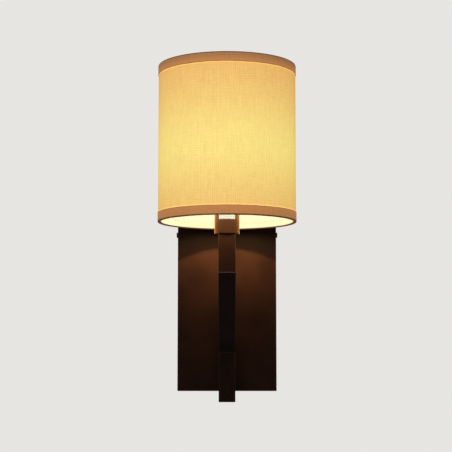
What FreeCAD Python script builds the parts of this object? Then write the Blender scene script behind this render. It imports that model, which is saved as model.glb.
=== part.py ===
import FreeCAD, Part
import math
import operator
import os
import Sketcher
from types import SimpleNamespace

# Wall lamp. Millimetres, +Z up, the front of the lamp faces -Y and the wall is the
# plane y = 0. The origin lies on the wall, in the middle of the wall bracket.

SIZES = {
    # Back plate, a folded sheet box that is open to the wall
    "plate_width": 120,
    "plate_above_bracket": 50,
    "plate_below_bracket": 190,
    "plate_depth": 18,
    "plate_sheet": 1.5,
    "plate_edge_round": 1,
    # Wall bracket and the screws that hold the plate on it
    "bracket_height": 24,
    "bracket_sheet": 1.5,
    "bracket_bend": 2,
    "bracket_gap": 0.2,
    "tab_depth": 14,
    "slot_spacing": 60,
    "slot_length": 16,
    "slot_width": 5,
    "side_screw_diameter": 4,
    "side_screw_length": 10,
    "side_screw_head": 6.5,
    "side_screw_head_height": 1.8,
    "side_screw_depth": 9,
    "side_hole_gap": 0.25,
    "earth_screw_offset": 5,
    "earth_screw_diameter": 4,
    "earth_screw_head": 7.5,
    "earth_screw_head_height": 2.4,
    "earth_tag_diameter": 9,
    "earth_tag_sheet": 0.8,
    "earth_tag_neck": 4,
    "earth_tag_barrel": 3.4,
    "earth_tag_barrel_length": 5,
    # Terminal block
    "terminal_pitch": 8,
    "terminal_length": 17,
    "terminal_base": 4,
    "terminal_barrel": 7,
    "terminal_axis_height": 5.2,
    "terminal_skirt": 0.6,
    "sleeve_outer": 4.4,
    "sleeve_bore": 3.2,
    "terminal_screw_diameter": 2.5,
    "terminal_screw_offset": 4.4,
    "terminal_screw_sink": 0.6,
    "terminal_chimney": 4.4,
    "terminal_chimney_height": 2.2,
    "fixing_screw_diameter": 2.5,
    "fixing_screw_head": 3.4,
    "fixing_screw_head_height": 1.6,
    # Arm, a square tube with two mitred bends
    "arm_side": 20,
    "arm_wall": 1.5,
    "arm_below_plate": 13,
    "arm_foot_length": 62,
    "arm_reach": 89,
    "arm_slope_angle": 45,
    "arm_neck_length": 40.5,
    "arm_edge_round": 0.6,
    "end_cap_face": 1.5,
    "end_cap_skirt": 8,
    "end_cap_wall": 1.4,
    "end_cap_gap": 0.1,
    # What clamps the arm's foot to the plate
    "clamp_bar_width": 15,
    "clamp_bar_sheet": 5,
    "clamp_bar_end": 7,
    "arm_screw_spacing": 32,
    "arm_screw_height": 26,
    "arm_screw_diameter": 5,
    "arm_screw_length": 8,
    "arm_screw_head": 9,
    "arm_screw_head_height": 3,
    "arm_screw_hole_gap": 0.3,
    "arm_washer_diameter": 12,
    "arm_washer_sheet": 1,
    "grommet_bore": 7,
    "grommet_wall": 1.2,
    "grommet_flange": 12.5,
    "grommet_flange_sheet": 1.2,
    "grommet_gap": 0.05,
    # Top plug, nipple and the cup that it clamps
    "plug_height": 7,
    "plug_gap": 0.1,
    "nipple_diameter": 10,
    "nipple_bore": 7.6,
    "nipple_length": 22,
    "nipple_above_plug": 12,
    "thread_gap": 0.05,
    "cup_diameter": 29,
    "cup_height": 34,
    "cup_wall": 1.2,
    "cup_floor": 1.6,
    "cup_corner": 0.8,
    "washer_diameter": 16,
    "washer_sheet": 0.8,
    "nut_across": 14,
    "nut_height": 3,
    # Lamp holder
    "holder_cap_diameter": 25,
    "holder_cap_wall": 2,
    "holder_cap_round": 5,
    "holder_neck_diameter": 13,
    "holder_neck_height": 3.5,
    "holder_thread_diameter": 27.6,
    "holder_flange_diameter": 33,
    "holder_flange_sheet": 2,
    "holder_top": 56,
    "holder_mouth": 22,
    "holder_mouth_depth": 8,
    "holder_bore": 15.4,
    "holder_spigot": 20.6,
    "core_diameter": 20.2,
    "core_bottom": 14.5,
    "core_top": 27.5,
    "core_foot": 14.6,
    "core_foot_wall": 1.4,
    "shell_inner": 14.3,
    "shell_sheet": 0.4,
    "contact_width": 4,
    "contact_sheet": 0.5,
    "contact_reach": 4.4,
    "contact_rise": 1.3,
    # Ring that clamps the shade on the holder
    "ring_gap": 0.3,
    "clamp_ring_diameter": 38,
    "clamp_ring_height": 7,
    "clamp_ring_round": 1.2,
    "clamp_ring_grip_diameter": 2.4,
    "clamp_ring_grip_count": 16,
    "clamp_ring_grip_depth": 0.5,
    # Shade
    "shade_diameter": 160,
    "shade_height": 182.5,
    "hem_height": 11,
    "hem_tuck": 9,
    "hem_sheet": 0.5,
    "hem_turn": 3,
    "fabric_sheet": 0.5,
    "liner_sheet": 0.4,
    "laminate_gap": 0.05,
    "hem_wrap_gap": 0.2,
    "seam_width": 10,
    "seam_sheet": 0.25,
    "seam_angle": 14.5,
    "ring_wire": 2,
    "carrier_wire": 2.5,
    "carrier_arm_count": 3,
    "carrier_recess": 22.5,
    "carrier_ring_width": 6,
    "carrier_ring_sheet": 1.5,
    "carrier_bend": 9,
    "carrier_gap": 0.15,
    "carrier_liner_gap": 0.1,
    "notch_gap": 0.3,
    # Bulb
    "bulb_diameter": 45,
    "bulb_length": 78,
    "bulb_wall": 0.8,
    "bulb_neck": 16.6,
    "bulb_neck_height": 22,
    "bulb_flare_gap": 1,
    "bulb_gap": 0.15,
    "bulb_cap_diameter": 13.7,
    "bulb_cap_bottom": 3.6,
    "bulb_cap_top": 20,
    "bulb_cap_sheet": 0.3,
    "bulb_insulator_bottom": 0.9,
    "bulb_insulator_waist": 4.6,
    "bulb_tip_diameter": 4.4,
    "stem_diameter": 5,
    "stem_foot_height": 4,
    "filament_wire": 0.5,
    "filament_width": 18,
    "filament_rise": 0.5,
    "filament_above_stem": 12,
    "filament_sag": 3,
    # Wires
    "wire_diameter": 2.2,
    "wire_spacing": 3.2,
    "wire_depth": 8,
    "wire_drop": 18,
    "wire_gather": 40,
    "wire_bend": 8,
    "earth_wire_bend": 4.3,
    "earth_wire_drop": 16,
    # One overrun for every cut that goes right through
    "overrun": 1,
}

# Numbers that are no size: turns in degrees, counts and shares of a size
circle_turn = 360
half = 0.5
quarter = 0.25
nut_sides = 6
block_side_share = 1.5
long_edge_share = 1.5
wire_run_share = 0.45
wire_volume_share = 0.02
match_share = 0.001
bulb_shoulder_share = 0.88
drive_length_share = 0.6
drive_width_share = 0.14
drive_depth_share = 0.6

OPERATIONS = {
    "+": operator.add,
    "-": operator.sub,
    "*": operator.mul,
    "/": operator.truediv,
}


class Size:
    """A size that knows both its number and the sheet formula that gives it."""

    def __init__(self, number, formula):
        self.number = number
        self.formula = formula

    def __add__(self, other):
        return joined(self, "+", other)

    def __radd__(self, other):
        return joined(other, "+", self)

    def __sub__(self, other):
        return joined(self, "-", other)

    def __rsub__(self, other):
        return joined(other, "-", self)

    def __mul__(self, other):
        return joined(self, "*", other)

    def __rmul__(self, other):
        return joined(other, "*", self)

    def __truediv__(self, other):
        return joined(self, "/", other)

    def __neg__(self):
        return joined(0, "-", self)


def as_size(value):
    """A plain number becomes a size too, so that both go into one formula."""
    if isinstance(value, Size):
        return value
    return Size(float(value), str(value))


def joined(left, sign, right):
    left = as_size(left)
    right = as_size(right)
    number = OPERATIONS[sign](left.number, right.number)
    return Size(number, "(" + left.formula + " " + sign + " " + right.formula + ")")


def worked_out(function_name, angle_or_value, number):
    return Size(number, function_name + "(" + angle_or_value.formula + ")")


def tangent(angle):
    return worked_out("tan", angle, math.tan(math.radians(angle.number)))


def cosine(angle):
    return worked_out("cos", angle, math.cos(math.radians(angle.number)))


doc = FreeCAD.newDocument("WallLamp")


def fill_sheet():
    """Writes every driving size into the sheet, one row each."""
    sheet = doc.addObject("Spreadsheet::Sheet", "Sizes")
    for row, (name, number) in enumerate(SIZES.items(), start=1):
        sheet.set("A%d" % row, name)
        sheet.set("B%d" % row, str(number))
        sheet.setAlias("B%d" % row, name)
    doc.recompute()
    return SimpleNamespace(
        **{name: Size(float(sheet.get(name)), "Sizes." + name) for name in SIZES}
    )


s = fill_sheet()

# Heights and depths that several pieces share, all worked out from the sheet
plate_top = s.plate_above_bracket
plate_bottom = -s.plate_below_bracket
plate_inside = s.plate_depth - s.plate_sheet
arm_half = s.arm_side * half
arm_foot_depth = s.plate_depth + arm_half
arm_foot_end = plate_bottom - s.arm_below_plate + s.end_cap_face
arm_screw_middle = plate_bottom + s.arm_screw_height
lower_bend = arm_foot_end + s.arm_foot_length
upper_bend = lower_bend + s.arm_reach / tangent(s.arm_slope_angle)
arm_top = upper_bend + s.arm_neck_length
column_depth = arm_foot_depth + s.arm_reach
cup_bottom = arm_top
flange_top = s.cup_height + s.holder_flange_sheet
carrier_bottom = flange_top + s.carrier_gap
shade_bottom = cup_bottom + carrier_bottom - s.carrier_recess
clamp_ring_bottom = carrier_bottom + s.carrier_ring_sheet + s.carrier_gap
shade_radius = s.shade_diameter * half
fabric_outer = shade_radius - s.hem_sheet - s.laminate_gap
fabric_inner = fabric_outer - s.fabric_sheet
liner_outer = fabric_inner - s.laminate_gap
liner_inner = liner_outer - s.liner_sheet
ring_wire_radius = s.ring_wire * half
wire_ring_radius = liner_inner - s.laminate_gap - ring_wire_radius
wire_ring_height = s.hem_sheet + s.hem_wrap_gap + ring_wire_radius
carrier_ring_inner = s.holder_thread_diameter * half + s.ring_gap
carrier_ring_outer = carrier_ring_inner + s.carrier_ring_width
holder_cap_low = s.cup_floor + s.washer_sheet + s.nut_height + s.thread_gap
holder_cap_shoulder = holder_cap_low + s.holder_neck_height
holder_cap_ledge = holder_cap_shoulder + s.holder_cap_wall
core_top = s.core_top
contact_top = core_top + s.contact_rise
bulb_bottom = cup_bottom + contact_top + s.bulb_gap
bulb_flare = s.holder_top + s.bulb_flare_gap - contact_top - s.bulb_gap
bulb_middle = s.bulb_length - s.bulb_diameter * half
filament_height = bulb_middle + s.filament_rise
stem_top = filament_height - s.filament_above_stem
block_side = s.terminal_pitch * block_side_share
earth_screw_across = block_side + s.earth_screw_offset


def add_body(label, depth=None, height=None, turn=None):
    """A body with its own label. depth and height place it on the lamp's column."""
    body = doc.addObject("PartDesign::Body", label)
    body.Label = label
    if depth is not None:
        body.setExpression("Placement.Base.y", (-depth).formula)
    if height is not None:
        body.setExpression("Placement.Base.z", height.formula)
    if turn is not None:
        body.setExpression("Placement.Rotation.Angle", turn.formula)
    return body


def add_sketch(body, name, role, offset=None):
    """A sketch on one of the body's own planes, moved along the plane's normal."""
    sketch = body.newObject("Sketcher::SketchObject", name)
    for plane in body.Origin.OriginFeatures:
        if plane.Role == role:
            sketch.AttachmentSupport = [(plane, "")]
    sketch.MapMode = "FlatFace"
    if offset is not None:
        sketch.setExpression("AttachmentOffset.Base.z", offset.formula)
    return sketch


def bind_constraint(sketch, constraint, size):
    number = sketch.addConstraint(constraint)
    sketch.setExpression("Constraints[%d]" % number, size.formula)


def pin_point(sketch, shape, point, across, up):
    """Holds one point of the sketch at its place from the sketch's origin."""
    across = as_size(across)
    up = as_size(up)
    if across.number == 0:
        sketch.addConstraint(Sketcher.Constraint("PointOnObject", shape, point, -2))
    else:
        held = Sketcher.Constraint("DistanceX", -1, 1, shape, point, across.number)
        bind_constraint(sketch, held, across)
    if up.number == 0:
        sketch.addConstraint(Sketcher.Constraint("PointOnObject", shape, point, -1))
    else:
        held = Sketcher.Constraint("DistanceY", -1, 1, shape, point, up.number)
        bind_constraint(sketch, held, up)


def arc_side(start, end, radius, leftwards):
    """The arc of less than half a turn from start to end, as a circle piece."""
    chord = end - start
    middle = (start + end) * half
    rise = math.sqrt(max(radius ** 2 - (chord.Length * half) ** 2, 0))
    aside = FreeCAD.Vector(-chord.y, chord.x, 0).normalize() * rise
    centre = middle + aside if leftwards else middle - aside
    if not leftwards:
        start, end = end, start
    first = math.atan2(start.y - centre.y, start.x - centre.x)
    last = math.atan2(end.y - centre.y, end.x - centre.x)
    circle = Part.Circle(centre, FreeCAD.Vector(0, 0, 1), radius)
    return Part.ArcOfCircle(circle, first, last)


def add_outline(sketch, corners, arcs=None, closed=True):
    """Draws an outline through corners. arcs maps the number of a corner to the radius
    of the arc that leaves it, with a minus sign where the arc bends to the right."""
    arcs = arcs or {}
    sides = []
    count = len(corners) if closed else len(corners) - 1
    for number in range(count):
        start = corners[number]
        end = corners[(number + 1) % len(corners)]
        first = FreeCAD.Vector(as_size(start[0]).number, as_size(start[1]).number, 0)
        last = FreeCAD.Vector(as_size(end[0]).number, as_size(end[1]).number, 0)
        if number in arcs:
            signed = arcs[number]
            leftwards = signed.number > 0
            radius = signed if leftwards else -signed
            shape = sketch.addGeometry(arc_side(first, last, radius.number, leftwards))
            sides.append((shape, 1, 2) if leftwards else (shape, 2, 1))
        else:
            shape = sketch.addGeometry(Part.LineSegment(first, last))
            sides.append((shape, 1, 2))
    for number, (shape, _, end_point) in enumerate(sides):
        if closed or number + 1 < len(sides):
            following, start_point, _ = sides[(number + 1) % len(sides)]
            sketch.addConstraint(
                Sketcher.Constraint("Coincident", shape, end_point, following, start_point)
            )
    for (shape, start_point, _), (across, up) in zip(sides, corners):
        pin_point(sketch, shape, start_point, across, up)
    if not closed:
        shape, _, end_point = sides[-1]
        pin_point(sketch, shape, end_point, *corners[-1])
    for number, signed in arcs.items():
        radius = signed if signed.number > 0 else -signed
        shape = sides[number][0]
        held = Sketcher.Constraint("Radius", shape, radius.number)
        bind_constraint(sketch, held, radius)


def add_circle(sketch, across, up, diameter):
    centre = FreeCAD.Vector(as_size(across).number, as_size(up).number, 0)
    radius = diameter * half
    circle = Part.Circle(centre, FreeCAD.Vector(0, 0, 1), radius.number)
    shape = sketch.addGeometry(circle)
    pin_point(sketch, shape, 3, across, up)
    bind_constraint(sketch, Sketcher.Constraint("Radius", shape, radius.number), radius)


def add_box_outline(sketch, left, right, low, high):
    add_outline(sketch, [(left, low), (right, low), (right, high), (left, high)])


def pad(body, sketch, length, name, both_ways=False, backwards=False):
    feature = body.newObject("PartDesign::Pad", name)
    feature.Profile = sketch
    if both_ways:
        feature.SideType = "Symmetric"
    feature.Reversed = backwards
    feature.setExpression("Length", length.formula)
    doc.recompute()
    return feature


def pocket(body, sketch, length, name, both_ways=False, backwards=False):
    """Cuts and makes sure that the cut has taken something away."""
    before = body.Shape.Volume
    feature = body.newObject("PartDesign::Pocket", name)
    feature.Profile = sketch
    if both_ways:
        feature.SideType = "Symmetric"
    feature.Reversed = backwards
    feature.setExpression("Length", length.formula)
    doc.recompute()
    if not feature.Shape.Volume < before:
        raise RuntimeError(body.Label + ": " + name + " cuts nothing")
    return feature


def turned(body, name, corners, arcs=None):
    """Adds a turned solid: the outline, given as radius and height, round the Z axis."""
    sketch = add_sketch(body, name + "_outline", "XZ_Plane")
    add_outline(sketch, corners, arcs)
    feature = body.newObject("PartDesign::Revolution", name)
    feature.Profile = sketch
    feature.ReferenceAxis = (sketch, ["V_Axis"])
    feature.Angle = circle_turn
    doc.recompute()
    return feature


def polar(body, feature, count, name):
    """Repeats a feature evenly round the body's Z axis."""
    pattern = body.newObject("PartDesign::PolarPattern", name)
    pattern.Originals = [feature]
    for axis in body.Origin.OriginFeatures:
        if axis.Role == "Z_Axis":
            pattern.Axis = (axis, [""])
    pattern.Angle = circle_turn
    pattern.setExpression("Occurrences", count.formula)
    body.Tip = pattern
    doc.recompute()
    return pattern


def round_edges(body, radius, name, wanted):
    """Rounds the edges of the body that wanted picks by their end points."""
    base = body.Tip
    names = []
    for number, edge in enumerate(base.Shape.Edges, start=1):
        if wanted([vertex.Point for vertex in edge.Vertexes]):
            names.append("Edge%d" % number)
    feature = body.newObject("PartDesign::Fillet", name)
    feature.Base = (base, names)
    feature.setExpression("Radius", radius.formula)
    doc.recompute()
    return feature


def near(value, size):
    """True where a coordinate lies at the size, to a small share of the overrun."""
    return abs(value - size.number) < s.overrun.number * match_share


def solid_feature(label, shape):
    """A piece whose shape is worked out directly, such as a wire."""
    feature = doc.addObject("Part::Feature", label)
    feature.Label = label
    feature.Shape = shape
    return feature


def screws(label, places, shank, length, head, head_height):
    """Pan head screws with cross slots, as one group. Each place is a point under the
    head and the direction in which the shank goes."""
    long = head.number * drive_length_share
    wide = head.number * drive_width_share
    deep = head_height.number * drive_depth_share
    solids = []
    for point, direction in places:
        body = Part.makeCylinder(shank.number * half, length.number, point, direction)
        cap = Part.makeCylinder(head.number * half, head_height.number, point, -direction)
        cap = cap.makeFillet(
            head_height.number * half,
            [cap.Edges[0] if cap.Edges[0].Vertexes[0].Point.distanceToPlane(point, direction)
             < -head_height.number * half else cap.Edges[2]],
        )
        screw = body.fuse(cap).removeSplitter()
        before = screw.Volume
        top = point - direction * head_height.number
        for across, up in ((long, wide), (wide, long)):
            slot = Part.makeBox(across, up, deep * 2)
            slot.translate(FreeCAD.Vector(-across, -up, -deep * 2) * half)
            slot.Placement = FreeCAD.Placement(
                top, FreeCAD.Rotation(FreeCAD.Vector(0, 0, 1), direction)
            ).multiply(slot.Placement)
            screw = screw.cut(slot)
        if not screw.Volume < before:
            raise RuntimeError(label + ": the cross slots cut nothing")
        solids.append(screw.Solids[0])
    return solid_feature(label, Part.makeCompound(solids))


def make_back_plate():
    """Front sheet with four folded sides, open to the wall."""
    body = add_body("back_plate")
    width = s.plate_width * half
    sketch = add_sketch(body, "plate_face", "XZ_Plane")
    add_box_outline(sketch, -width, width, plate_bottom, plate_top)
    pad(body, sketch, s.plate_depth, "plate_block")
    inside = add_sketch(body, "plate_hollow", "XZ_Plane")
    inner = width - s.plate_sheet
    low = plate_bottom + s.plate_sheet
    high = plate_top - s.plate_sheet
    add_box_outline(inside, -inner, inner, low, high)
    pocket(body, inside, plate_inside, "plate_cavity", backwards=True)
    holes = add_sketch(body, "foot_holes", "XZ_Plane")
    centre = arm_screw_middle
    apart = s.arm_screw_spacing * half
    hole = s.arm_screw_diameter + s.arm_screw_hole_gap * 2
    add_circle(holes, 0, centre - apart, hole)
    add_circle(holes, 0, centre + apart, hole)
    sleeve = s.grommet_bore + s.grommet_wall * 2 + s.grommet_gap * 2
    add_circle(holes, 0, centre, sleeve)
    pocket(body, holes, s.plate_depth + s.overrun, "foot_hole_cut", backwards=True)
    side = add_sketch(body, "side_holes", "YZ_Plane")
    add_circle(side, -s.side_screw_depth, 0, s.side_screw_diameter + s.side_hole_gap * 2)
    pocket(body, side, s.plate_width + s.overrun, "side_hole_cut", both_ways=True)
    front = -s.plate_depth

    def outer_edge(points):
        at_front = all(near(point.y, front) for point in points)
        at_side = any(near(abs(point.x), width) for point in points)
        return at_front and at_side and len(points) == 2

    def outer_corner(points):
        if len(points) != 2:
            return False
        at_sides = all(near(abs(point.x), width) for point in points)
        at_ends = all(near(p.z, plate_top) or near(p.z, plate_bottom) for p in points)
        same_height = abs(points[0].z - points[1].z) < s.overrun.number
        return at_sides and at_ends and same_height

    def rounded(points):
        return outer_edge(points) or outer_corner(points)

    round_edges(body, s.plate_edge_round, "plate_edges", rounded)
    return body


def make_wall_bracket():
    """Crossbar bent to a U, with a tapped tab inside each side of the plate."""
    body = add_body("wall_bracket")
    outer = s.plate_width * half - s.plate_sheet - s.bracket_gap
    inner = outer - s.bracket_sheet
    sketch = add_sketch(body, "bracket_bend_line", "XY_Plane")
    corners = [
        (-outer, 0),
        (-outer, -s.tab_depth),
        (-inner, -s.tab_depth),
        (-inner, -s.bracket_sheet),
        (inner, -s.bracket_sheet),
        (inner, -s.tab_depth),
        (outer, -s.tab_depth),
        (outer, 0),
    ]
    add_outline(sketch, corners)
    pad(body, sketch, s.bracket_height, "bracket_strip", both_ways=True)
    slots = add_sketch(body, "wall_slots", "XZ_Plane")
    straight = (s.slot_length - s.slot_width) * half
    radius = s.slot_width * half
    for side in (-1, 1):
        centre = side * s.slot_spacing * half
        add_outline(
            slots,
            [
                (centre - straight, -radius),
                (centre + straight, -radius),
                (centre + straight + radius, 0),
                (centre + straight, radius),
                (centre - straight, radius),
                (centre - straight - radius, 0),
            ],
            {1: radius, 2: radius, 4: radius, 5: radius},
        )
    pocket(body, slots, s.tab_depth, "slot_cut", backwards=True)
    small = add_sketch(body, "screw_holes", "XZ_Plane")
    add_circle(small, earth_screw_across, 0, s.earth_screw_diameter)
    for side in (-half, half):
        add_circle(small, side * s.terminal_pitch, 0, s.fixing_screw_diameter)
    pocket(body, small, s.tab_depth, "screw_hole_cut", backwards=True)
    tabs = add_sketch(body, "tab_holes", "YZ_Plane")
    add_circle(tabs, -s.side_screw_depth, 0, s.side_screw_diameter)
    pocket(body, tabs, s.plate_width + s.overrun, "tab_hole_cut", both_ways=True)

    def bend_edge(points):
        if len(points) != 2:
            return False
        at_bend = all(near(abs(point.x), outer) and near(point.y, as_size(0)) for point in points)
        return at_bend and abs(points[0].z - points[1].z) > s.overrun.number

    round_edges(body, s.bracket_bend, "bracket_bends", bend_edge)
    return body


def make_side_screws():
    side = s.plate_width.number * half
    depth = -s.side_screw_depth.number
    places = [
        (FreeCAD.Vector(x, depth, 0), FreeCAD.Vector(way, 0, 0))
        for x, way in ((-side, 1), (side, -1))
    ]
    return screws(
        "side_screws", places, s.side_screw_diameter, s.side_screw_length,
        s.side_screw_head, s.side_screw_head_height,
    )


def make_earth_screw():
    front = s.bracket_sheet + s.earth_tag_sheet
    point = FreeCAD.Vector(earth_screw_across.number, -front.number, 0)
    return screws(
        "earth_screw", [(point, FreeCAD.Vector(0, 1, 0))], s.earth_screw_diameter,
        front, s.earth_screw_head, s.earth_screw_head_height,
    )


def make_earth_tag():
    """Ring terminal: a flat ring, a short neck and the crimped barrel."""
    body = add_body("earth_tag")
    face = add_sketch(body, "tag_ring", "XZ_Plane", s.bracket_sheet)
    add_circle(face, earth_screw_across, 0, s.earth_tag_diameter)
    pad(body, face, s.earth_tag_sheet, "tag_disc")
    neck = add_sketch(body, "tag_neck", "XZ_Plane", s.bracket_sheet)
    wide = s.earth_tag_neck * half
    low = -(s.earth_tag_diameter * half + s.earth_tag_barrel_length)
    add_box_outline(neck, earth_screw_across - wide, earth_screw_across + wide, low, 0)
    pad(body, neck, s.earth_tag_sheet, "tag_tongue")
    barrel = add_sketch(body, "tag_barrel", "XY_Plane", low)
    depth = -(s.bracket_sheet + s.earth_tag_barrel * half)
    add_circle(barrel, earth_screw_across, depth, s.earth_tag_barrel)
    pad(body, barrel, s.earth_tag_barrel_length, "tag_crimp")
    hole = add_sketch(body, "tag_hole", "XZ_Plane")
    add_circle(hole, earth_screw_across, 0, s.earth_screw_diameter)
    pocket(body, hole, s.plate_depth, "tag_hole_cut", backwards=True)
    core = add_sketch(body, "tag_bore", "XY_Plane", low)
    add_circle(core, earth_screw_across, depth, s.wire_diameter)
    pocket(body, core, s.earth_tag_barrel_length, "tag_bore_cut", backwards=True)
    return body


def terminal_ways():
    return [way * s.terminal_pitch for way in (-1, 0, 1)]


def make_terminal_block():
    """Three round barrels on a common base, each with two screw chimneys."""
    body = add_body("terminal_block")
    wide = block_side
    base = add_sketch(body, "block_base", "XZ_Plane", s.bracket_sheet)
    tall = s.terminal_length * half
    add_box_outline(base, -wide, wide, -tall + s.terminal_skirt, tall - s.terminal_skirt)
    pad(body, base, s.terminal_base, "block_slab")
    axis = -(s.bracket_sheet + s.terminal_axis_height)
    barrels = add_sketch(body, "block_barrels", "XY_Plane")
    for way in terminal_ways():
        add_circle(barrels, way, axis, s.terminal_barrel)
    pad(body, barrels, s.terminal_length, "block_barrel", both_ways=True)
    chimneys = add_sketch(body, "block_chimneys", "XZ_Plane", -axis)
    for way in terminal_ways():
        for side in (-1, 1):
            add_circle(chimneys, way, side * s.terminal_screw_offset, s.terminal_chimney)
    rise = s.terminal_barrel * half + s.terminal_chimney_height
    pad(body, chimneys, rise, "block_chimney")
    bores = add_sketch(body, "block_bores", "XY_Plane")
    for way in terminal_ways():
        add_circle(bores, way, axis, s.sleeve_outer)
    pocket(body, bores, s.terminal_length + s.overrun, "block_bore_cut", both_ways=True)
    wells = add_sketch(body, "block_wells", "XZ_Plane", -axis)
    for way in terminal_ways():
        for side in (-1, 1):
            place = side * s.terminal_screw_offset
            add_circle(wells, way, place, s.terminal_screw_diameter)
    pocket(body, wells, rise + s.overrun, "block_well_cut", backwards=True)
    fixings = add_sketch(body, "block_fixings", "XZ_Plane")
    for side in (-half, half):
        add_circle(fixings, side * s.terminal_pitch, 0, s.fixing_screw_diameter)
    pocket(body, fixings, s.plate_depth, "block_fixing_cut", backwards=True)
    seats = add_sketch(body, "block_seats", "XZ_Plane", s.bracket_sheet + s.terminal_base)
    for side in (-half, half):
        add_circle(seats, side * s.terminal_pitch, 0, s.fixing_screw_head)
    pocket(body, seats, s.plate_depth, "block_seat_cut", backwards=True)
    return body


def make_terminal_sleeves():
    """Brass tube in each way of the block, with two tapped holes."""
    length = s.terminal_length.number - 2 * s.terminal_skirt.number
    depth = -(s.bracket_sheet + s.terminal_axis_height).number
    up = FreeCAD.Vector(0, 0, 1)
    out = FreeCAD.Vector(0, -1, 0)
    solids = []
    for way in terminal_ways():
        foot = FreeCAD.Vector(way.number, depth, -length * half)
        tube = Part.makeCylinder(s.sleeve_outer.number * half, length, foot, up)
        tube = tube.cut(Part.makeCylinder(s.sleeve_bore.number * half, length, foot, up))
        for side in (-1, 1):
            place = side * s.terminal_screw_offset.number
            mouth = FreeCAD.Vector(way.number, depth, place)
            hole = Part.makeCylinder(
                s.terminal_screw_diameter.number * half, s.sleeve_outer.number, mouth, out
            )
            tube = tube.cut(hole)
        solids.append(tube.Solids[0])
    return solid_feature("terminal_sleeves", Part.makeCompound(solids))


def make_terminal_screws():
    """Grub screws of the block, which press on the wires and reach up the chimneys."""
    axis = s.bracket_sheet + s.terminal_axis_height
    bottom = axis + s.wire_diameter * half
    top = axis + s.terminal_barrel * half + s.terminal_chimney_height - s.terminal_screw_sink
    out = FreeCAD.Vector(0, -1, 0)
    solids = []
    for way in terminal_ways():
        for side in (-1, 1):
            place = side * s.terminal_screw_offset.number
            foot = FreeCAD.Vector(way.number, -bottom.number, place)
            length = (top - bottom).number
            screw = Part.makeCylinder(s.terminal_screw_diameter.number * half, length, foot, out)
            slot_wide = s.terminal_screw_sink.number
            slot = Part.makeBox(
                s.terminal_screw_diameter.number, slot_wide, slot_wide,
                FreeCAD.Vector(
                    way.number - s.terminal_screw_diameter.number * half,
                    -top.number, place - slot_wide * half,
                ),
            )
            solids.append(screw.cut(slot).Solids[0])
    return solid_feature("terminal_screws", Part.makeCompound(solids))


def make_fixing_screws():
    front = s.bracket_sheet + s.terminal_base
    places = [
        (FreeCAD.Vector(side * s.terminal_pitch.number, -front.number, 0),
         FreeCAD.Vector(0, 1, 0))
        for side in (-half, half)
    ]
    return screws(
        "terminal_fixing_screws", places, s.fixing_screw_diameter, front,
        s.fixing_screw_head, s.fixing_screw_head_height,
    )


def arm_outline(inset, run_over):
    """Side view of the arm, drawn in by inset, with both ends moved out by run_over."""
    reach = arm_half - inset
    shift = reach * tangent(s.arm_slope_angle * half)
    low = arm_foot_end - run_over
    high = arm_top + run_over
    back = -(arm_foot_depth - reach)
    front = -(arm_foot_depth + reach)
    far_back = -(column_depth - reach)
    far_front = -(column_depth + reach)
    return [
        (back, low),
        (back, lower_bend + shift),
        (far_back, upper_bend + shift),
        (far_back, high),
        (far_front, high),
        (far_front, upper_bend - shift),
        (front, lower_bend - shift),
        (front, low),
    ]


def make_arm():
    """Square tube, mitred at both bends, drilled at its foot for screws and wires."""
    body = add_body("arm")
    side = add_sketch(body, "arm_side_view", "YZ_Plane")
    add_outline(side, arm_outline(as_size(0), as_size(0)))
    pad(body, side, s.arm_side, "arm_bar", both_ways=True)
    half_side = arm_half

    def long_edge(points):
        outside = all(near(abs(point.x), half_side) for point in points)
        same_side = points[0].x * points[-1].x > 0
        inside_ends = points[0].distanceToPoint(points[-1]) > s.arm_side.number * long_edge_share
        return len(points) == 2 and outside and same_side and inside_ends

    round_edges(body, s.arm_edge_round, "arm_edges", long_edge)
    bore = add_sketch(body, "arm_bore_view", "YZ_Plane")
    add_outline(bore, arm_outline(s.arm_wall, s.overrun))
    pocket(body, bore, s.arm_side - s.arm_wall * 2, "arm_bore", both_ways=True)
    holes = add_sketch(body, "arm_foot_holes", "XZ_Plane")
    centre = arm_screw_middle
    apart = s.arm_screw_spacing * half
    hole = s.arm_screw_diameter + s.arm_screw_hole_gap * 2
    add_circle(holes, 0, centre - apart, hole)
    add_circle(holes, 0, centre + apart, hole)
    sleeve = s.grommet_bore + s.grommet_wall * 2 + s.grommet_gap * 2
    add_circle(holes, 0, centre, sleeve)
    reach = s.plate_depth + s.arm_wall + s.overrun
    pocket(body, holes, reach, "arm_foot_hole_cut", backwards=True)
    return body


def make_arm_end_cap():
    """Push-in cap: a face over the tube's end and a hollow skirt inside it."""
    body = add_body("arm_end_cap", arm_foot_depth, arm_foot_end)
    face = add_sketch(body, "cap_face", "XY_Plane")
    edge = arm_half
    add_box_outline(face, -edge, edge, -edge, edge)
    pad(body, face, s.end_cap_face, "cap_plate", backwards=True)
    skirt = add_sketch(body, "cap_skirt", "XY_Plane")
    inner = arm_half - s.arm_wall - s.end_cap_gap
    add_box_outline(skirt, -inner, inner, -inner, inner)
    pad(body, skirt, s.end_cap_skirt, "cap_plug")
    hollow = add_sketch(body, "cap_hollow", "XY_Plane")
    core = inner - s.end_cap_wall
    add_box_outline(hollow, -core, core, -core, core)
    pocket(body, hollow, s.end_cap_skirt + s.overrun, "cap_hollow_cut", backwards=True)
    return body


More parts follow.
